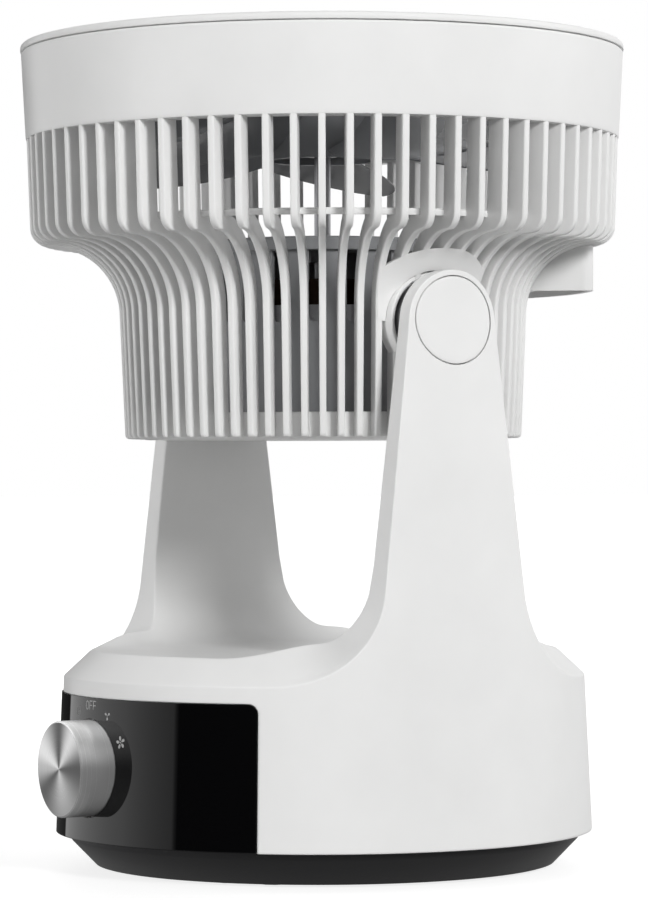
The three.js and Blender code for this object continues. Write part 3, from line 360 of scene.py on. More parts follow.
def spun_metal(name, color, roughness, anisotropy, sweep=None, metallic=1.0):
    """Metal turned about the piece's own Y axis: circular lines and an anisotropic bow-tie highlight.
    sweep paints highlights and shade into the base colour by angle about that axis, as stops of (degrees,
    level)."""
    material = bpy.data.materials.new(name)
    material.use_nodes = True
    nodes, links = material.node_tree.nodes, material.node_tree.links
    shader = nodes["Principled BSDF"]
    shader.inputs["Base Color"].default_value = (*color, 1)
    shader.inputs["Metallic"].default_value = metallic
    shader.inputs["Anisotropic"].default_value = anisotropy
    tangent = nodes.new("ShaderNodeTangent")
    tangent.direction_type, tangent.axis = "RADIAL", "Y"
    links.new(tangent.outputs["Tangent"], shader.inputs["Tangent"])
    place = nodes.new("ShaderNodeTexCoord")
    split = nodes.new("ShaderNodeSeparateXYZ")
    links.new(place.outputs["Object"], split.inputs["Vector"])
    # Painted highlights and painted shade: the base colour goes lighter and darker by angle about the
    # axis.
    if sweep:
        tint = add_sweep(nodes, links, split.outputs["X"], split.outputs["Z"], sweep)
        tint.color_ramp.interpolation = "EASE"
        links.new(tint.outputs["Color"], shader.inputs["Base Color"])
    lines = add_turned_lines(nodes, links, split)
    gloss = nodes.new("ShaderNodeMapRange")
    gloss.inputs["To Min"].default_value = roughness * 0.7
    gloss.inputs["To Max"].default_value = roughness * 1.35
    links.new(lines.outputs["Fac"], gloss.inputs["Value"])
    links.new(gloss.outputs["Result"], shader.inputs["Roughness"])
    relief = nodes.new("ShaderNodeBump")
    relief.inputs["Strength"].default_value = 0.09
    relief.inputs["Distance"].default_value = 0.0001
    links.new(lines.outputs["Fac"], relief.inputs["Height"])
    links.new(relief.outputs["Normal"], shader.inputs["Normal"])
    return material


WHITE = plastic("white_satin", (0.86, 0.86, 0.855), 0.36, bump=0.05)
WHITE_HEAD = plastic("white_satin_head", (0.84, 0.84, 0.835), 0.3, bump=0.04)
BLACK = plastic("black_satin", (0.015, 0.015, 0.016), 0.36, bump=0.1)
GREY = plastic("grey_satin", (0.33, 0.335, 0.345), 0.38, bump=0.06)
# Painted shade: the blades' light plastic is given the dark grey they show in the shade inside the head.
BLADE = plastic("blade_painted_shade", (0.24, 0.245, 0.255), 0.26, bump=0.03)
HUB = plastic("grey_hub", (0.15, 0.15, 0.155), 0.4, bump=0.06)
GLOSS = plastic("black_gloss", (0.0015, 0.0015, 0.0018), 0.012, bump=0.003, grain=300)
PRINT = plastic("icon_print", (0.42, 0.42, 0.42), 0.45, bump=0.02)
PRINT_FAINT = plastic("icon_print_faint", (0.2, 0.2, 0.2), 0.45, bump=0.02)
RUBBER = plastic("black_rubber", (0.02, 0.02, 0.02), 0.75, bump=0.25, grain=1600)
# Painted highlights and painted shade: three bright and three dark sectors in the colour of the knob's
# face, as (degrees, level).
KNOB_PAINTED_LIGHT = ((-180, 0.57), (-148, 0.12), (-80, 0.7), (5, 0.12), (50, 0.8), (90, 0.1), (157, 0.85),
              (180, 0.57))
# Painted highlight and painted shade on its side: lightest on top and darkest halfway down.
KNOB_SIDE_PAINTED_LIGHT = ((-180, 0.5), (-130, 0.5), (-60, 0.5), (0, 0.3), (30, 0.5), (62, 1.0), (118, 1.0), (180, 0.5))
KNOB_METAL_PAINTED_LIGHT = spun_metal("spun_aluminium_painted_light", (0.74, 0.74, 0.75), 0.24, 0.85, KNOB_SIDE_PAINTED_LIGHT, metallic=0.4)
KNOB_FACE_PAINTED_LIGHT = spun_metal("spun_aluminium_face_painted_light", (0.8, 0.8, 0.8), 0.3, 0.6, KNOB_PAINTED_LIGHT)
STEEL = spun_metal("turned_steel", (0.5, 0.5, 0.52), 0.3, 0.4)
# Enamelled copper, darkened further as painted shade for the dark inside of the motor.
COPPER_PAINTED_SHADE = plastic("enamelled_copper_painted_shade", (0.03, 0.014, 0.008), 0.32, bump=0.5, grain=1400, metallic=0.7)
BOARD = plastic("solder_mask", (0.01, 0.1, 0.035), 0.3, bump=0.1, grain=500)


# ---------- the drum and its arms ----------
def drum_r(z):
    return DRUM_R - DRUM_DRAFT * (z - DRUM_Z)


def saddle_height(x, inset=0.0):
    """Height of the trough between the arms at a distance x from the axis."""
    radius, centre_x, centre_z = SADDLE_R + inset, ARM_GAP - SADDLE_R, TOP_Z + SADDLE_R
    wall_x = ARM_GAP + inset
    if x <= centre_x:
        return TOP_Z - inset
    if x < wall_x:
        return centre_z - math.sqrt(max(radius ** 2 - (x - centre_x) ** 2, 0))
    return centre_z + (x - wall_x) / ARM_LEAN


def solve(test, low, high):
    """The value between low and high where a rising test turns positive."""
    for _ in range(44):
        middle = (low + high) / 2
        low, high = (low, middle) if test(middle) > 0 else (middle, high)
    return (low + high) / 2


def smoothstep(x, low, high):
    t = min(max((x - low) / (high - low), 0), 1)
    return t * t * (3 - 2 * t)


def quarter_outline(inset, level=16, flare=34, end=20):
    """One quarter of the pedestal seen from the side, as (y, z, turn). turn runs from 0 on
    the drum's level edge to 1 on the arm, where the bevel has become a square strip."""
    end_r, flare_r, edge_z = ARM_END_R - inset, ARM_FLARE_R + inset, EDGE_Z - inset
    tilt = math.atan(ARM_TAPER)
    flare_z = edge_z + flare_r
    line_y = end_r / math.cos(tilt) + ARM_TAPER * (PIVOT_Z - flare_z)
    flare_y = line_y + flare_r / math.cos(tilt)
    start = math.acos(flare_y / drum_r(edge_z))
    outline = [(drum_r(edge_z) * math.cos(start * i / level), edge_z, 0) for i in range(level)]
    for i in range(flare + 1):
        a = lerp(-math.pi / 2, tilt - math.pi, i / flare)
        turn = smoothstep(i / flare, 0, 0.85)
        outline.append((flare_y + flare_r * math.cos(a), flare_z + flare_r * math.sin(a), turn))
    steps = 10
    foot, head = outline[-1], (end_r * math.cos(tilt), PIVOT_Z + end_r * math.sin(tilt))
    for i in range(1, steps):
        outline.append((lerp(foot[0], head[0], i / steps), lerp(foot[1], head[1], i / steps), 1))
    for i in range(end + 1):
        a = lerp(tilt, math.pi / 2, i / end)
        outline.append((end_r * math.cos(a), PIVOT_Z + end_r * math.sin(a), 1))
    return outline


def station(y, z, turn):
    """A point on the outer edge and the direction of the bevel that starts there."""
    edge = Vector((math.sqrt(max(drum_r(z) ** 2 - y * y, 0)), y, z))
    around = math.atan2(edge.y, edge.x)
    bevel_way = Vector((-CHAMFER[0] * math.cos(around), -CHAMFER[0] * math.sin(around),
                        CHAMFER[1])).normalized()
    return edge, bevel_way.lerp(Vector((-1, 0, 0)), turn).normalized()


def outer_point(edge, way, offset):
    """Where the bevel's line crosses the drum's wall moved by offset."""
    def depth(t):
        p = edge + way * t
        return drum_r(p.z) + offset - math.hypot(p.x, p.y)
    return edge + way * solve(depth, -40, 60)


def inner_point(edge, way, inset=0.0):
    """Where the bevel's line meets the trough."""
    def height(t):
        p = edge + way * t
        return p.z - saddle_height(p.x, inset)
    return edge + way * solve(height, 0, 60)


def full_ring(quarter):
    """A quarter's points mirrored into a closed ring, counter-clockwise from +X."""
    def flip(points, sx, sy):
        return [(sx * p[0], sy * p[1], p[2]) for p in points]
    back = quarter[::-1]
    return (flip(back, 1, 1) + flip(quarter[1:], -1, 1) + flip(back[1:], -1, -1)
            + flip(quarter[1:-1], 1, -1))


def on_wall(inset, offset=0.0):
    """The side outline moved in by inset, laid on the drum's wall."""
    points = []
    for y, z, _ in quarter_outline(inset):
        r = drum_r(z)
        x = math.sqrt(max(r * r - y * y, 0))
        points.append(((r + offset) / r * x, (r + offset) / r * y, z))
    return points


def level_ring(ring, z, offset=0.0):
    """The points of a quarter moved along the drum's wall to a height."""
    r = drum_r(z) + offset
    return [(r * math.cos(a), r * math.sin(a), z) for a in (math.atan2(p[1], p[0]) for p in ring)]


def rounded_edge(before, edge, after, steps=4):
    """Rings that round an edge between a ring before it and a ring after it."""
    rings = []
    for k in range(steps + 1):
        t = k / steps
        rings.append([tuple(Vector(a) * (1 - t) ** 2 + Vector(b) * (2 * t * (1 - t)) + Vector(c) * t * t)
                      for a, b, c in zip(before, edge, after)])
    return rings


SKIN = 3.0
COVER_WALL = 2.6
EDGE_ROUND = 0.55
INNER_ROUND = 1.1
HOLD = 0.5  # a ring this close to a rounded edge keeps its shading off the wide faces
EDGES = [station(*p) for p in quarter_outline(0)]
SEAM = [tuple(outer_point(e, w, -SKIN)) for e, w in EDGES]


def shell_rings():
    """A quarter of each ring of the shell, from the wall's inside round its foot to the seam."""
    edge = [tuple(e) for e, _ in EDGES]
    first = on_wall(EDGE_ROUND)
    hold = on_wall(EDGE_ROUND + HOLD)
    second = [tuple(e + w * EDGE_ROUND) for e, w in EDGES]
    second_hold = [tuple(e + w * (EDGE_ROUND + HOLD)) for e, w in EDGES]
    foot = 0.8
    return [level_ring(SEAM, DRUM_Z + foot, -SKIN), level_ring(hold, DRUM_Z, -foot),
            level_ring(hold, DRUM_Z + 0.25, -0.2), level_ring(hold, DRUM_Z + foot),
            level_ring(hold, DRUM_Z + foot + HOLD), hold,
            *rounded_edge(first, edge, second), second_hold, SEAM]


def make_body_shell():
    """The drum's wall with both arms' outer skins, cut for panel, knob, caps and cord."""
    rings = [full_ring(r) for r in shell_rings()]
    shell = make("body_shell_skin", loft(rings + rings[:1], caps=False))
    boolean(shell, along_front(rod(25.2, 116, 120.6, 48)), "UNION")
    boolean(shell, front_plate(FIT, -1.6, 4.0, DRUM_Z - 3))
    boolean(shell, along_front(rod(KNOB_WELL_R, 118.8, 130, 128)))
    boolean(shell, along_front(rod(KNOB_SHAFT_R, 110, 120, 32)))
    hole = rod(CAP_R + CAP_GAP, 100, 130, 128)
    boolean(shell, moved(hole, along_x))
    boolean(shell, moved(hole, along_minus_x))
    boolean(shell, moved(rod(GLAND_R, 110, 130, 40), lambda x, y, z: (x, z, GLAND_Z + y)))
    return dress(shell, "base", WHITE, ["body_shell"], angle=28)


def make_saddle_cover():
    """The bevel, the trough between the arms and the arms' inner skins."""
    edge = [tuple(inner_point(e, w)) for e, w in EDGES]
    before = [tuple(Vector(p) - w * INNER_ROUND) for p, (_, w) in zip(edge, EDGES)]
    before_hold = [tuple(Vector(p) - w * (INNER_ROUND + HOLD)) for p, (_, w) in zip(edge, EDGES)]

    def trough(inset, floor=0.0):
        return [tuple(inner_point(*station(*p), floor)) for p in quarter_outline(inset)]

    after = trough(INNER_ROUND)
    last = trough(INNER_ROUND + HOLD)
    skirt = level_ring(SEAM, DRUM_Z + 4, -SKIN - 0.4)
    inside_wall = level_ring(SEAM, DRUM_Z + 4, -SKIN - COVER_WALL)
    inside = [outer_point(*station(*p), -SKIN - COVER_WALL) for p in quarter_outline(COVER_WALL)]
    outer_rings = [skirt, SEAM, before_hold, *rounded_edge(before, edge, after), last]
    inner_rings = [inside_wall, [tuple(p) for p in inside], trough(COVER_WALL, COVER_WALL)]
    outside = ruled_cap(outer_rings)
    inner = ruled_cap(inner_rings)
    count = len(full_ring(skirt))
    base = len(outside[0])
    rim = [[i, (i + 1) % count, base + (i + 1) % count, base + i] for i in range(count)]
    verts, faces = merged(outside, inner)
    cover = make("saddle_cover_top", (verts, faces + rim))
    hole = rod(TRUNNION_R, 60, 125, 64)
    boolean(cover, moved(hole, along_x))
    boolean(cover, moved(hole, along_minus_x))
    return dress(cover, "base", WHITE, ["saddle_cover"], angle=34)


def ruled_cap(quarters):
    """Rings joined in order, the last one closed by strips that run straight along Y."""
    rings = [full_ring(q) for q in quarters]
    verts, faces = loft(rings, caps=False)
    count = len(rings[0])
    top = (len(rings) - 1) * count
    for i in range(count // 2):
        quad = [top + i, top + i + 1, top + (-i - 1) % count, top + (-i) % count]
        faces.append([v for n, v in enumerate(quad) if v not in quad[:n]])
    return verts, [f for f in faces if len(f) > 2]


def along_front(shape):
    """Turned work laid along the knob's axis: its Z points out of the drum's front."""
    return moved(shape, lambda x, y, z: (x, -z, KNOB_Z + y))


def front_plate(grow, inner, outer, bottom, rows=14, columns=96):
    """A plate that follows the drum's front, rounded at its top corners."""
    half = math.radians(PANEL_HALF_ANGLE) * DRUM_R + grow
    top, corner = PANEL_TOP_Z + grow, PANEL_CORNER_R + grow
    places = [(half - corner + corner * math.sin(a), top - corner + corner * math.cos(a))
              for a in (math.radians(90 - 90 * i / 8) for i in range(9))]
    places += [(lerp(half - corner, corner - half, i / columns), top) for i in range(1, columns)]
    places += [(-s, z) for s, z in places[:9][::-1]]

    def sheet(offset):
        rows_of = []
        for s, z in places:
            heights = [bottom, bottom + HOLD] + [lerp(bottom + HOLD, z - HOLD, k / rows)
                                                 for k in range(1, rows)] + [z - HOLD, z]
            rows_of.append([((drum_r(h) + offset) * math.sin(s / DRUM_R),
                             -(drum_r(h) + offset) * math.cos(s / DRUM_R), h) for h in heights])
        return rows_of
    front, back = sheet(outer), sheet(inner)
    return loft([f + b[::-1] for f, b in zip(front, back)])


def make_control_panel():
    """The curved black panel, cut for the knob's well."""
    panel = make("control_panel_gloss", front_plate(0, -1.2, PANEL_PROUD, DRUM_Z + 0.3))
    bevel(panel, 0.22, 2, 60)
    boolean(panel, along_front(rod(KNOB_WELL_R, 110, 130, 128)))
    return dress(panel, "base", GLOSS, ["control_panel"], angle=30)


def make_pivot_cap(name, side):
    """A round cap that follows the arm's outer face, with a rounded rim."""
    thick = 3.0
    rim = [(CAP_R * k / 10, 0.0) for k in range(10)]
    rim += [(CAP_R - 0.4, 0.0), (CAP_R - 0.12, 0.12), (CAP_R, 0.4), (CAP_R, thick)]
    segments = 96

    def place(r, depth, a):
        y, z = r * math.cos(a), PIVOT_Z + r * math.sin(a)
        return (side * (math.sqrt(drum_r(z) ** 2 - y * y) - depth), y, z)
    rings = [[place(max(r, 0.01), d, math.tau * k / segments) for k in range(segments)]
             for r, d in rim]
    rings.append([place(0.01, thick, math.tau * k / segments) for k in range(segments)])
    return make(name, loft(rings))


def make_pivot_caps():
    for side, word in ((1, "near"), (-1, "far")):
        cap = make_pivot_cap(f"pivot_cap_{word}_skin", side)
        dress(cap, "base", WHITE, [f"pivot_cap_{word}"], angle=40)


# ---------- pan and knob ----------
def cut_at(obj, shape, dx, dy):
    boolean(obj, moved(shape, lambda x, y, z: (x + dx, y + dy, z)))


def make_base_pan():
    """The black pan: a cone under a straight lip, with sockets for four feet and four screws."""
    cone = 12.0
    foot_circle_r, foot_r = 90.0, 9.3
    screw_at = (52.0, 82.0)
    outline = [(0, 1.0), (105.9, 1.0), (106.9, 1.3), (106.3 + cone - 0.4, cone + 0.6),
               (118.45, 13.6), (118.6, 14.4), (118.9, 15.4), (119.0, 15.7), (119.0, 21.5),
               (118.6, 22.0), (117.0, 22.0), (116.5, 21.5), (116.5, 15.6), (105.3, 3.5), (0, 3.5)]
    pan = make("base_pan_shell", turned(outline, 192))
    for k in range(4):
        a = math.radians(45 + 90 * k)
        cut_at(pan, rod(foot_r, -1, 2.3, 48), foot_circle_r * math.cos(a), foot_circle_r * math.sin(a))
    screw_hole = turned([(0, -1), (3.4, -1), (3.4, 2.3), (1.9, 2.3), (1.9, 6), (0, 6)], 32)
    for sx in (-1, 1):
        for sy in (-1, 1):
            cut_at(pan, screw_hole, screw_at[0] * sx, screw_at[1] * sy)
    return dress(pan, "base", BLACK, ["base_pan"], angle=30)


def make_knob():
    """Spun cap: turned about its own Y, with its origin on that axis."""
    front = KNOB_FRONT
    wall = 1.4
    outline = [(0, front), (KNOB_R - 0.75, front), (KNOB_R - 0.5, front - 0.06),
               (KNOB_R - 0.12, front - 0.42), (KNOB_R, front - 0.8), (KNOB_R, front - wall),
               (KNOB_R, KNOB_BACK + 1.0), (KNOB_R, KNOB_BACK), (KNOB_R - wall, KNOB_BACK),
               (KNOB_R - wall, front - wall), (0, front - wall)]
    shape = moved(turned(outline, 160), lambda x, y, z: (x, -z, y))
    knob = make("speed_knob_cap", shape)
    knob.location = (0, 0, KNOB_Z * MM)
    # The side's colour carries a painted highlight and painted shade; the front faces take the face
    # material with its painted highlights and painted shade.
    dress(knob, "knob", KNOB_METAL_PAINTED_LIGHT, ["speed_knob"], angle=25)
    knob.data.materials.append(KNOB_FACE_PAINTED_LIGHT)
    for face in knob.data.polygons:
        if all(knob.data.vertices[v].co.y < -(front - 0.03) * MM for v in face.vertices):
            face.material_index = 1
    return knob


# ---------- icons around the knob ----------
ICON_R = 28.2
ICON_LIFT = 0.03
STROKE = 0.42


def icon_face(polygons):
    """Flat polygons, drawn in mm beside the knob, laid just proud of the panel."""
    verts, faces = [], []
    for polygon in polygons:
        low, high = [], []
        for x, z in polygon:
            r = drum_r(z) + PANEL_PROUD
            a = x / r
            for out, lift in ((low, -0.1), (high, ICON_LIFT)):
                out.append(((r + lift) * math.sin(a), -(r + lift) * math.cos(a), z))
        base = len(verts)
        count = len(polygon)
        verts += low + high
        faces.append([base + i for i in range(count)][::-1])
        faces.append([base + count + i for i in range(count)])
        faces += [[base + i, base + (i + 1) % count, base + count + (i + 1) % count,
                   base + count + i] for i in range(count)]
    return verts, faces


def icon_place(angle):
    a = math.radians(angle)
    return ICON_R * math.sin(a), KNOB_Z + ICON_R * math.cos(a)


def stroke(points, width, closed=False):
    """Short rectangles along a line, as printed strokes."""
    out = []
    count = len(points)
    for i in range(count if closed else count - 1):
        a, b = Vector(points[i]), Vector(points[(i + 1) % count])
        along = (b - a).normalized()
        side = Vector((-along.y, along.x)) * width / 2
        a, b = a - along * width * 0.12, b + along * width * 0.12
        out.append([tuple(a + side), tuple(b + side), tuple(b - side), tuple(a - side)])
    return out


def fan_icon(centre, radius, blades):
    """Leaf-shaped blades round a hub."""
    cx, cz = centre
    out = []
    for k in range(blades):
        turn = math.tau * k / blades + 0.4
        leaf = [(0.16, 0.02), (0.42, 0.26), (0.72, 0.36), (0.95, 0.24), (0.98, 0.02), (0.8, -0.14),
                (0.48, -0.12)]
        out.append([(cx + radius * (x * math.cos(turn) - y * math.sin(turn)),
                     cz + radius * (x * math.sin(turn) + y * math.cos(turn)))
                    for x, y in rounded(leaf, 0.2, 2)])
    out.append(arc(cx, cz, radius * 0.13, 0, 330, 11))
    return out


def clock_icon(centre, radius):
    """A ring with two hands."""
    cx, cz = centre
    face = stroke(arc(cx, cz, radius, 0, 350, 35), STROKE, closed=True)
    hands = stroke([(cx, cz + radius * 0.6), (cx, cz), (cx + radius * 0.45, cz - radius * 0.05)], 0.4)
    return face + hands


def off_icon(centre, height):
    """The word OFF in plain strokes."""
    cx, cz = centre
    wide, gap = height * 0.62, height * 0.3
    left = cx - (3 * wide + 2 * gap) / 2
    out = stroke([(left + wide / 2 + wide / 2 * math.cos(a), cz + height / 2 * math.sin(a))
                  for a in (math.tau * k / 16 for k in range(16))], STROKE, closed=True)
    for k in (1, 2):
        x = left + k * (wide + gap)
        out += stroke([(x, cz - height / 2), (x, cz + height / 2), (x + wide, cz + height / 2)], STROKE)
        out += stroke([(x, cz), (x + wide * 0.85, cz)], STROKE)
    return out


def make_icons():
    """Printed marks at their places round the knob, in degrees from the top."""
    drawings = (("icon_timer", clock_icon(icon_place(-27), 2.3)),
                ("icon_off", off_icon(icon_place(0), 3.8)),
                ("icon_fan_low", fan_icon(icon_place(31), 2.2, 3)),
                ("icon_fan_high", fan_icon(icon_place(63), 3.0, 5)))
    for name, polygons in drawings:
        icon = make(name, icon_face(polygons))
        dress(icon, "base", PRINT_FAINT if name == "icon_timer" else PRINT)


# ---------- the head's shroud ----------
def flare_line(grow=0.0, steps=16):
    """The concave curve under the head, from the neck outwards."""
    return arc(FLARE_CENTRE_R, FLARE_Z, FLARE_R - grow, 180, 90, steps)


def slat_radius(z):
    """Radius of the slats' outer edges on the neck and the flare."""
    if z <= FLARE_Z:
        return lerp(NECK_BOTTOM_R, NECK_TOP_R, (z - HEAD_Z) / (FLARE_Z - HEAD_Z))
    return FLARE_CENTRE_R - math.sqrt(max(FLARE_R ** 2 - (z - FLARE_Z) ** 2, 0))


def slat_outline():
    """One slat from the side, as (radius, height): neck, flare, rounded shoulder and inner edge."""
    depth = SLAT_DEPTH
    neck_inner = NECK_TOP_R - 8.8
    inner_flare = FLARE_CENTRE_R - neck_inner
    top_angle = math.degrees(math.acos((SHOULDER_R - depth - FLARE_CENTRE_R) / inner_flare))
    return [(84.0, HEAD_Z + 0.6), (85.2, HEAD_Z), (91.0, HEAD_Z), (91.9, HEAD_Z + 0.5),
            (NECK_BOTTOM_R, HEAD_Z + 1.6),
            *flare_line()[:-1],
            *arc(SHOULDER_R - CORNER_R, FLARE_TOP_Z + CORNER_R, CORNER_R, -90, 0, 7),
            (BAND_BOTTOM_R - 0.35, BAND_Z + 1.6), (BAND_BOTTOM_R - depth, BAND_Z + 1.6),
            *arc(FLARE_CENTRE_R, FLARE_Z, inner_flare, top_angle, 180, 12)]


def slat():
    """One slat, thinner on the neck, with its outer edge rounded."""
    def width(z):
        return lerp(2.9, 3.25, min(max((z - 215) / 60, 0), 1)) / 2

    outline = slat_outline()
    rings = [[(r, -width(z), z) for r, z in outline], [(r, width(z), z) for r, z in outline]]
    piece = make("slat", loft(rings))
    bevel(piece, 0.9, 4, 50)
    mesh = piece.data
    shape = ([tuple(v.co / MM) for v in mesh.vertices], [list(p.vertices) for p in mesh.polygons])
    bpy.data.objects.remove(piece)
    return shape


def make_band():
    """The solid band above the slats, slightly wider at the top."""
    outline = [(126.2, BAND_Z), (BAND_BOTTOM_R - 0.9, BAND_Z), (BAND_BOTTOM_R - 0.25, BAND_Z + 0.15),
               (BAND_BOTTOM_R, BAND_Z + 0.8), (BAND_BOTTOM_R + 0.1, BAND_Z + 2),
               (BAND_TOP_R - 0.06, BAND_TOP_Z - 1.6), (BAND_TOP_R - 0.1, BAND_TOP_Z - 0.9),
               (BAND_TOP_R - 0.5, BAND_TOP_Z - 0.35), (137.7, BAND_TOP_Z - 0.35),
               (135.7, BAND_Z + 3), (126.2, BAND_Z + 3)]
    return turned(outline, 280)


def make_rear_grille():
    """The shroud: band, slats, closed dish at the back and a thin hoop inside the slats."""
    one = slat()
    slats = [moved(one, turn_about_z(k * PITCH)) for k in range(SLATS)]
    dish = turned([(0, 197.6), (83.2, 197.6), (84.3, 198.1), (84.6, 199.2), (84.6, 209.0), (83.4, 209.2),
                   (82.0, 208.8), (82.0, 201.4), (80.8, 200.2), (0, 200.2)], 140)
    r, z = HOOP_R, HOOP_Z
    hoop = turned([(r - 1.2, z - 1.1), (r - 0.4, z - 1.5), (r + 0.8, z - 1.5), (r + 1.2, z - 0.9),
                   (r + 1.2, z + 0.9), (r + 0.6, z + 1.5), (r - 0.4, z + 1.5), (r - 1.2, z + 0.9)], 210)
    grille = make("rear_grille_shroud", merged(make_band(), dish, hoop, *slats))
    dress(grille, "head", WHITE_HEAD, ["rear_grille"], angle=38)
    for side, word in ((1, "near"), (-1, "far")):
        make_ear(side, word)
        make_boss(side, word)


EAR_SIZE = (35.0, 32.0)  # half width and height
EAR_SQUARENESS = 2.3  # 2 is an ellipse
EAR_HOLE_R = 22.6
EAR_PROUD = 0.15


def make_ear(side, word):
    """The smooth plate around a pivot, flush with the slats' outer edges."""
    half = 3.12 * PITCH
    thick = 3
    line = [(slat_radius(PIVOT_Z) + EAR_PROUD, PIVOT_Z - 0.01), (NECK_TOP_R + EAR_PROUD, FLARE_Z - 3)]
    line += [p for p in flare_line(EAR_PROUD, 24) if p[1] < FLARE_TOP_Z - 1]
    section = line + [(r - thick, z) for r, z in line[::-1]]
    rings = []
    for k in range(41):
        a = lerp(-half, half, k / 40)
        rings.append([(r * math.cos(a), r * math.sin(a), z) for r, z in section])
    plate = moved(loft(rings), turn_about_z(0 if side > 0 else math.pi))
    ear = make(f"rear_grille_ear_{word}", plate)
    wide, tall = EAR_SIZE
    power = 2 / EAR_SQUARENESS
    rim = [(tall * math.copysign(abs(math.cos(a)) ** power, math.cos(a)),
            wide * math.copysign(abs(math.sin(a)) ** power, math.sin(a)))
           for a in (math.tau * k / 120 for k in range(120))]
    dome = loft([[(x, y, z) for x, y in rim] for z in (60, 140)])
    place = along_x if side > 0 else along_minus_x
    boolean(ear, moved(dome, place), "INTERSECT")
    boolean(ear, moved(rod(EAR_HOLE_R, 60, 140, 96), place))
    bevel(ear, 0.6, 3, 50)
    dress(ear, "head", WHITE_HEAD, ["rear_grille"], angle=32)


def make_boss(side, word):
    """The round boss that an arm's hub turns in, with a raised rounded rim."""
    outline = [(4.3, 93.4), (20.4, 93.4), (20.4, 96.2), (20.8, 96.7), (21.9, 96.7), (22.3, 96.3),
               (22.4, 95.7), (22.4, 86.4), (4.3, 86.2)]
    place = along_x if side > 0 else along_minus_x
    boss = make(f"rear_grille_boss_{word}", moved(turned(outline, 96), place))
    dress(boss, "head", WHITE_HEAD, ["rear_grille"], angle=32)


def make_hubs():
    """The grey hubs between the bosses and the arms."""
    outline = [(4.3, 93.7), (19.0, 93.7), (19.2, 93.9), (19.2, 100.2), (18.9, 100.6), (9.0, 100.6),
               (9.0, 106.4), (4.3, 106.4)]
    for place, word in ((along_x, "near"), (along_minus_x, "far")):
        hub = make(f"pivot_hub_{word}_body", moved(turned(outline, 96), place))
        dress(hub, "head", HUB, [f"pivot_hub_{word}"])


HANDLE_R = 126.9
HANDLE_BOTTOM_Z = 266.7
HANDLE_HALF_ANGLE = 6 * PITCH
HANDLE_WALL = 2.8
HANDLE_CORNER_R = 6.0


def handle_section(reach, skin, low, steps=10):
    """Under the flare, from its foot out to a radius of reach. skin is the gap to the flare."""
    arc_r = FLARE_R - skin
    edge = FLARE_CENTRE_R - math.sqrt(arc_r ** 2 - (HANDLE_BOTTOM_Z - FLARE_Z) ** 2)
    points = [(edge, low), (reach, low)]
    for k in range(steps + 1):
        r = lerp(reach, edge, k / steps)
        rise = math.sqrt(max(arc_r ** 2 - (FLARE_CENTRE_R - r) ** 2, 0))
        points.append((r, FLARE_Z + rise))
    return points


def handle_box(reach, skin, low, half_angle, round_r):
    """The section carried round the back, with round_r at its two upright corners."""
    span = half_angle * reach
    places = [-span + round_r * (1 - math.cos(math.radians(a))) for a in range(0, 91, 10)]
    places += [lerp(-span + round_r, span - round_r, k / 40) for k in range(1, 40)]
    places += [-p for p in places[:10][::-1]]
    rings = []
    for s in places:
        into = max(round_r - (span - abs(s)), 0)
        depth = round_r - math.sqrt(max(round_r ** 2 - into ** 2, 0))
        a = math.pi / 2 + s / reach
        rings.append([(r * math.cos(a), r * math.sin(a), z)
                      for r, z in handle_section(reach - depth, skin, low)])
    return loft(rings)


def make_carry_handle():
    """The grip on the back: a box under the flare, open below for the fingers."""
    outer, wall, half = HANDLE_R, HANDLE_WALL, HANDLE_HALF_ANGLE
    handle = make("carry_handle_grip", handle_box(outer, 0.0, HANDLE_BOTTOM_Z, half, HANDLE_CORNER_R))
    bevel(handle, 0.9, 3, 50)
    boolean(handle, handle_box(outer - wall, FIT + 2.0, HANDLE_BOTTOM_Z - 2, half - wall / outer,
                               HANDLE_CORNER_R - wall))
    return dress(handle, "head", WHITE_HEAD, ["carry_handle"], angle=38)


# ---------- front grille ----------
def make_front_grille():
    """Rim, middle ring, centre disc and swept vanes."""
    vanes = 30
    sweep = math.radians(24)
    top, bottom = HEAD_TOP_Z - 2.4, HEAD_TOP_Z - 9.4
    rim = turned([(132.0, 373.0), (132.6, 372.4), (136.8, 372.4), (137.0, 372.6), (137.0, 377.5),
                  (140.2, 377.5), (140.55, 377.7), (140.68, 378.2), (140.68, 379.2), (140.4, 380.1),
                  (139.8, 380.7), (139.0, 380.9), (133.6, 380.9), (132.6, 380.5), (132.0, 379.6)], 240)
    ring = turned([(79.6, bottom + 1.4), (80.0, bottom + 1), (81.6, bottom + 1), (82.0, bottom + 1.4),
                   (82.0, top - 1.4), (81.6, top - 1), (80.0, top - 1), (79.6, top - 1.4)], 180)
    centre = turned([(0, top - 2.2), (27.6, top - 2.2), (27.6, bottom + 0.3), (28.0, bottom),
                     (29.6, bottom), (30.0, bottom + 0.4), (30.0, top - 0.7), (29.5, top - 0.1),
                     (24.0, top + 0.45), (14.0, top + 0.95), (0, top + 1.2)], 120)
    section = rounded([(-1, bottom), (1, bottom), (1, top), (-1, top)], 0.7, 3)
    rings = []
    for k in range(15):
        t = k / 14
        r, a = lerp(29.0, 132.8, t), sweep * t * t
        rings.append([(r * math.cos(a) - x * math.sin(a + 0.35 * t),
                       r * math.sin(a) + x * math.cos(a + 0.35 * t), z) for x, z in section])
    vane = loft(rings)
    copies = [moved(vane, turn_about_z(math.tau * k / vanes)) for k in range(vanes)]
    grille = make("front_grille_vanes", merged(rim, ring, centre, *copies))
    return dress(grille, "head", WHITE_HEAD, ["front_grille"], angle=38)


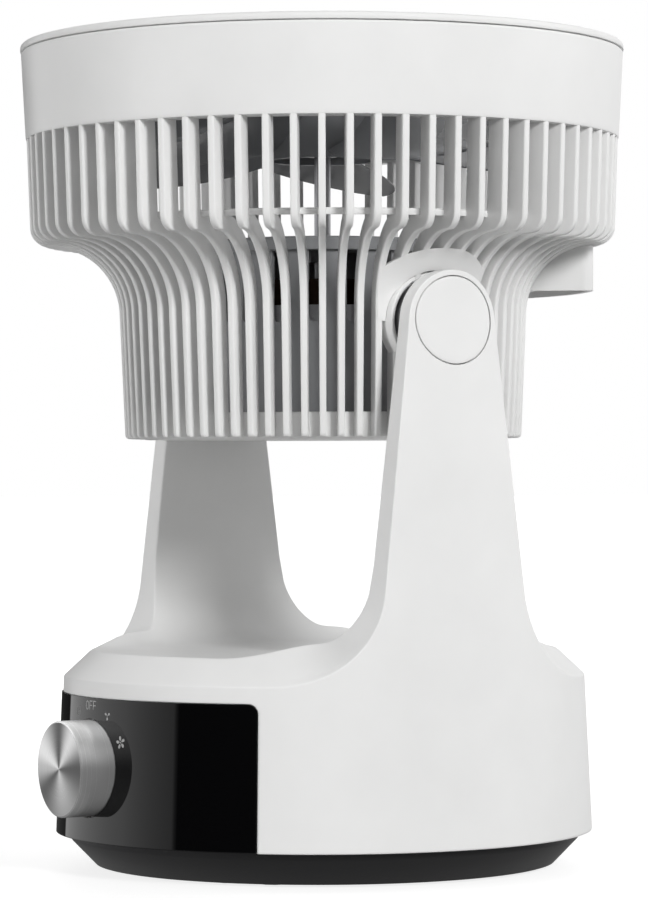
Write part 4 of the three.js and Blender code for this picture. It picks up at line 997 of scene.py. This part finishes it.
# ---------- motor and propeller ----------
def make_motor():
    """The motor's can, with a flange on the dish and a ring of tall cooling slots."""
    slots = 18
    outline = [(0, 287.1), (47.6, 287.1), (47.6, 200.5), (59.0, 200.5), (59.0, 202.7), (58.6, 203.1),
               (51.0, 203.1), (50.0, 204.1), (50.0, 283.5), (53.0, 283.5), (53.0, 288.6),
               (52.1, 289.5), (0, 289.5)]
    motor = make("motor_housing_can", turned(outline, 180))
    half, low, high = 2.75, 253.25, 283.2
    slot = arc(0, low, half, 180, 360, 8) + [(half, high), (-half, high)]
    tools = []
    for k in range(slots):
        a = math.tau * (k + 0.25) / slots
        shape = loft([[(x, y, z) for y, z in slot] for x in (46.0, 52.0)])
        tools.append(moved(shape, turn_about_z(a)))
    boolean(motor, merged(*tools))
    boolean(motor, rod(5.3, 285, 291, 48))
    return dress(motor, "head", GREY, ["motor_housing"], angle=32)


def blade(steps=18, chord=16):
    """One twisted, cambered blade with rounded edges."""
    middle = HUB_Z + 12
    rings = []
    for i in range(steps + 1):
        s = i / steps
        r = lerp(24.8, 122.0, s)
        tip = max(s - 0.93, 0) / 0.07
        span = math.radians(lerp(50, 56, s)) * (1 - 0.05 * tip ** 2)
        rise = lerp(18, 40, math.sin(s * math.pi / 2)) * (1 - 0.05 * tip ** 2)
        lead = math.radians(20) * s * s
        low, high = [], []
        for k in range(chord + 1):
            t = k / chord
            thin = (0.62 + 0.38 * math.sin(t * math.pi)) * (0.55 if k in (0, chord) else 1)
            a = lead + (t - 0.5) * span
            z = middle + (t - 0.5) * rise - 0.12 * rise * math.sin(t * math.pi)
            low.append((r * math.cos(a), r * math.sin(a), z - thin))
            high.append((r * math.cos(a), r * math.sin(a), z + thin))
        rings.append(low + high[::-1])
    return loft(rings)


def make_propeller():
    """The hub and its blades."""
    hub = turned([(23.6, HUB_Z), (25.4, HUB_Z), (26.0, HUB_Z + 0.7), (26.0, HUB_TOP_Z - 1.6),
                  (25.4, HUB_TOP_Z - 0.5), (24.2, HUB_TOP_Z), (4.2, HUB_TOP_Z), (4.2, HUB_Z + 2),
                  (7.1, HUB_Z + 2), (7.1, HUB_TOP_Z - 2.4), (23.6, HUB_TOP_Z - 2.4)], 120)
    blades = [moved(blade(), turn_about_z(math.tau * k / BLADES)) for k in range(BLADES)]
    rotor = make("propeller_blades", merged(hub, *blades))
    return dress(rotor, "rotor", BLADE, ["propeller"], angle=45)


def make_shaft_and_nut():
    low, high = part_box("motor_shaft")
    top = high[2] / MM
    bottom = low[2] / MM
    shaft = make("motor_shaft_rod", turned([(0, bottom), (3.5, bottom), (3.8, bottom + 0.3),
                                            (3.8, top - 0.5), (3.3, top), (0, top)], 48))
    dress(shaft, "rotor", STEEL, ["motor_shaft"])
    foot = HUB_TOP_Z + FIT
    nut = make("hub_nut_cap", turned([(0, foot + 6.3), (4.1, foot + 6.3), (4.1, foot), (9.8, foot),
                                      (10.0, foot + 0.2), (10.0, foot + 3), (9.2, foot + 6),
                                      (7.6, foot + 9), (6.4, foot + 9.9), (0, foot + 10)], 64))
    dress(nut, "rotor", BLACK, ["hub_nut"])


# ---------- CAD nodes that keep their shape ----------
def finish_cad_nodes():
    looks = {"white_plastic": WHITE, "black_plastic": BLACK, "grey_plastic": GREY,
             "panel_gloss": GLOSS, "knob_metal": KNOB_METAL_PAINTED_LIGHT, "steel": STEEL, "winding": COPPER_PAINTED_SHADE,
             "board_green": BOARD, "rubber": RUBBER}
    for part in frame["record"]["subparts"]:
        node = frame["nodes"][part["node"]]
        material = looks[part["material_slot"]]
        if node.material_slots:
            for place in node.material_slots:
                place.material = material
        else:
            node.data.materials.append(material)


make_body_shell()
make_saddle_cover()
make_control_panel()
make_pivot_caps()
make_base_pan()
make_knob()
make_icons()
make_rear_grille()
make_hubs()
make_carry_handle()
make_front_grille()
make_motor()
make_propeller()
make_shaft_and_nut()
finish_cad_nodes()


# ---------- studio ----------
PHOTO_SIZE = (648, 900)
FOCAL_PX = 3776.0
CAMERA_DISTANCE = 1764.0
CAMERA_AZIMUTH = math.radians(59.2)
CAMERA_Z = 181.3
CAMERA_PITCH = 0.0064
CAMERA_SIDE = 0.24
CAMERA_ROLL = 0.0037


def make_camera():
    """The photo's camera: it looks at the drum's axis from between the front and the near arm."""
    camera = bpy.data.cameras.new("camera")
    camera.sensor_width = 36.0
    camera.lens = 36.0 * FOCAL_PX / max(PHOTO_SIZE)
    camera.clip_start, camera.clip_end = 0.05, 30
    obj = bpy.data.objects.new("camera", camera)
    bpy.context.scene.collection.objects.link(obj)
    bpy.context.scene.camera = obj
    back = Vector((math.sin(CAMERA_AZIMUTH), -math.cos(CAMERA_AZIMUTH), 0))
    right = Vector((math.cos(CAMERA_AZIMUTH), math.sin(CAMERA_AZIMUTH), 0))
    place = back * CAMERA_DISTANCE + right * CAMERA_SIDE + Vector((0, 0, CAMERA_Z))
    obj.location = place * MM
    obj.rotation_euler = (math.pi / 2 + CAMERA_PITCH, CAMERA_ROLL, CAMERA_AZIMUTH)


LIGHT_DISTANCE = 2.4
# Azimuth from +X towards +Y and elevation in degrees, width and height in metres, watts.
LIGHTS = (("key", -3, 20, 0.5, 0.5, 37), ("left", -96, 2, 1.0, 0.5, 19), ("back", 60, 45, 0.7, 0.7, 5),
          ("rim", 85, 8, 0.5, 0.5, 6), ("fill", 160, 8, 0.9, 0.9, 22))


def area_light(name, azimuth, elevation, wide, tall, power):
    """A soft box that looks at the fan and isn't seen in its polished surfaces."""
    light = bpy.data.lights.new(name, "AREA")
    light.shape = "RECTANGLE"
    light.size, light.size_y = wide, tall
    light.energy = power
    obj = bpy.data.objects.new(name, light)
    bpy.context.scene.collection.objects.link(obj)
    a, e = math.radians(azimuth), math.radians(elevation)
    way = Vector((math.cos(a) * math.cos(e), math.sin(a) * math.cos(e), math.sin(e)))
    obj.location = Vector((0, 0, 0.2)) + way * LIGHT_DISTANCE
    obj.rotation_euler = (-way).to_track_quat("-Z", "Y").to_euler()
    obj.visible_glossy = False


# What shines in the panel and the knob: levels round the horizon by azimuth, and below it.
AROUND = ((-180, 0.03), (-176.6, 0.03), (-176.2, 1.0), (-145, 1.0), (-126, 0.95), (-110, 0.65),
          (-97.3, 0.45), (-96.9, 0.02), (-40, 0.02), (-30, 0.18), (45, 0.2), (76, 1.0), (150, 1.0),
          (152, 0.03), (180, 0.03))
BELOW = 0.25
AMBIENT = 0.23


def add_range(nodes, links, value, start, end, low=0.0, high=1.0):
    """The value carried from start..end to low..high."""
    node = nodes.new("ShaderNodeMapRange")
    node.inputs["From Min"].default_value = start
    node.inputs["From Max"].default_value = end
    node.inputs["To Min"].default_value = low
    node.inputs["To Max"].default_value = high
    links.new(value, node.inputs["Value"])
    return node.outputs["Result"]


def add_shine(nodes, links):
    """What polished surfaces see: AROUND near the horizon, BELOW it a dim grey, white above."""
    place = nodes.new("ShaderNodeTexCoord")
    split = nodes.new("ShaderNodeSeparateXYZ")
    links.new(place.outputs["Generated"], split.inputs["Vector"])
    around = add_sweep(nodes, links, split.outputs["X"], split.outputs["Y"], AROUND)
    low = nodes.new("ShaderNodeMixRGB")
    low.inputs["Color1"].default_value = (*[BELOW] * 3, 1)
    links.new(add_range(nodes, links, split.outputs["Z"], -0.25, -0.05), low.inputs["Fac"])
    links.new(around.outputs["Color"], low.inputs["Color2"])
    sky = nodes.new("ShaderNodeMixRGB")
    sky.inputs["Color2"].default_value = (1, 1, 1, 1)
    links.new(add_range(nodes, links, split.outputs["Z"], 0.16, 0.42), sky.inputs["Fac"])
    links.new(low.outputs["Color"], sky.inputs["Color1"])
    return sky.outputs["Color"]


def add_background(nodes, level):
    node = nodes.new("ShaderNodeBackground")
    node.inputs["Color"].default_value = (1, 1, 1, 1)
    node.inputs["Strength"].default_value = level
    return node


def make_world():
    """White to the camera, a soft even light on the fan and AROUND in its reflections."""
    world = bpy.data.worlds.new("studio")
    bpy.context.scene.world = world
    world.use_nodes = True
    nodes, links = world.node_tree.nodes, world.node_tree.links
    nodes.clear()
    out = nodes.new("ShaderNodeOutputWorld")
    path = nodes.new("ShaderNodeLightPath")
    ambient, glossy, seen = (add_background(nodes, level) for level in (AMBIENT, 1.0, 1.0))
    links.new(add_shine(nodes, links), glossy.inputs["Color"])
    first = nodes.new("ShaderNodeMixShader")
    links.new(path.outputs["Is Glossy Ray"], first.inputs["Fac"])
    links.new(ambient.outputs["Background"], first.inputs[1])
    links.new(glossy.outputs["Background"], first.inputs[2])
    last = nodes.new("ShaderNodeMixShader")
    links.new(path.outputs["Is Camera Ray"], last.inputs["Fac"])
    links.new(first.outputs["Shader"], last.inputs[1])
    links.new(seen.outputs["Background"], last.inputs[2])
    links.new(last.outputs["Shader"], out.inputs["Surface"])


FLOOR_SIZE = 60.0
FLOOR_GREY = 0.3
FLOOR_BOUNCE = 0.08  # glow that lights the fan from below
FLOOR_GLOW = (0.82, 1.0)  # glow that the camera sees, under the fan and from a metre away
GLOW_REACH = (0.3, 1.0)


def make_floor():
    """A pale floor that keeps the fan's shadow; it fades into the white background."""
    bpy.ops.mesh.primitive_plane_add(size=FLOOR_SIZE, location=(0, 0, -0.0002))
    floor = bpy.context.object
    floor.name = "floor"
    material = bpy.data.materials.new("floor_white")
    material.use_nodes = True
    nodes, links = material.node_tree.nodes, material.node_tree.links
    shader = nodes["Principled BSDF"]
    shader.inputs["Base Color"].default_value = (*[FLOOR_GREY] * 3, 1)
    shader.inputs["Roughness"].default_value = 0.6
    shader.inputs["Specular IOR Level"].default_value = 0.1
    glow = nodes.new("ShaderNodeEmission")
    glow.inputs["Color"].default_value = (1, 1, 1, 1)
    path = nodes.new("ShaderNodeLightPath")
    place = nodes.new("ShaderNodeTexCoord")
    reach = nodes.new("ShaderNodeVectorMath")
    reach.operation = "LENGTH"
    links.new(place.outputs["Object"], reach.inputs[0])
    seen = add_range(nodes, links, reach.outputs["Value"], *GLOW_REACH, *FLOOR_GLOW)
    level = nodes.new("ShaderNodeMapRange")
    level.inputs["To Min"].default_value = FLOOR_BOUNCE
    links.new(seen, level.inputs["To Max"])
    links.new(path.outputs["Is Camera Ray"], level.inputs["Value"])
    links.new(level.outputs["Result"], glow.inputs["Strength"])
    both = nodes.new("ShaderNodeAddShader")
    links.new(shader.outputs["BSDF"], both.inputs[0])
    links.new(glow.outputs["Emission"], both.inputs[1])
    links.new(both.outputs["Shader"], nodes["Material Output"].inputs["Surface"])
    floor.data.materials.append(material)
    floor.visible_glossy = False


make_camera()
make_world()
make_floor()
for lamp in LIGHTS:
    area_light(*lamp)
bpy.context.scene.view_settings.view_transform = "Standard"
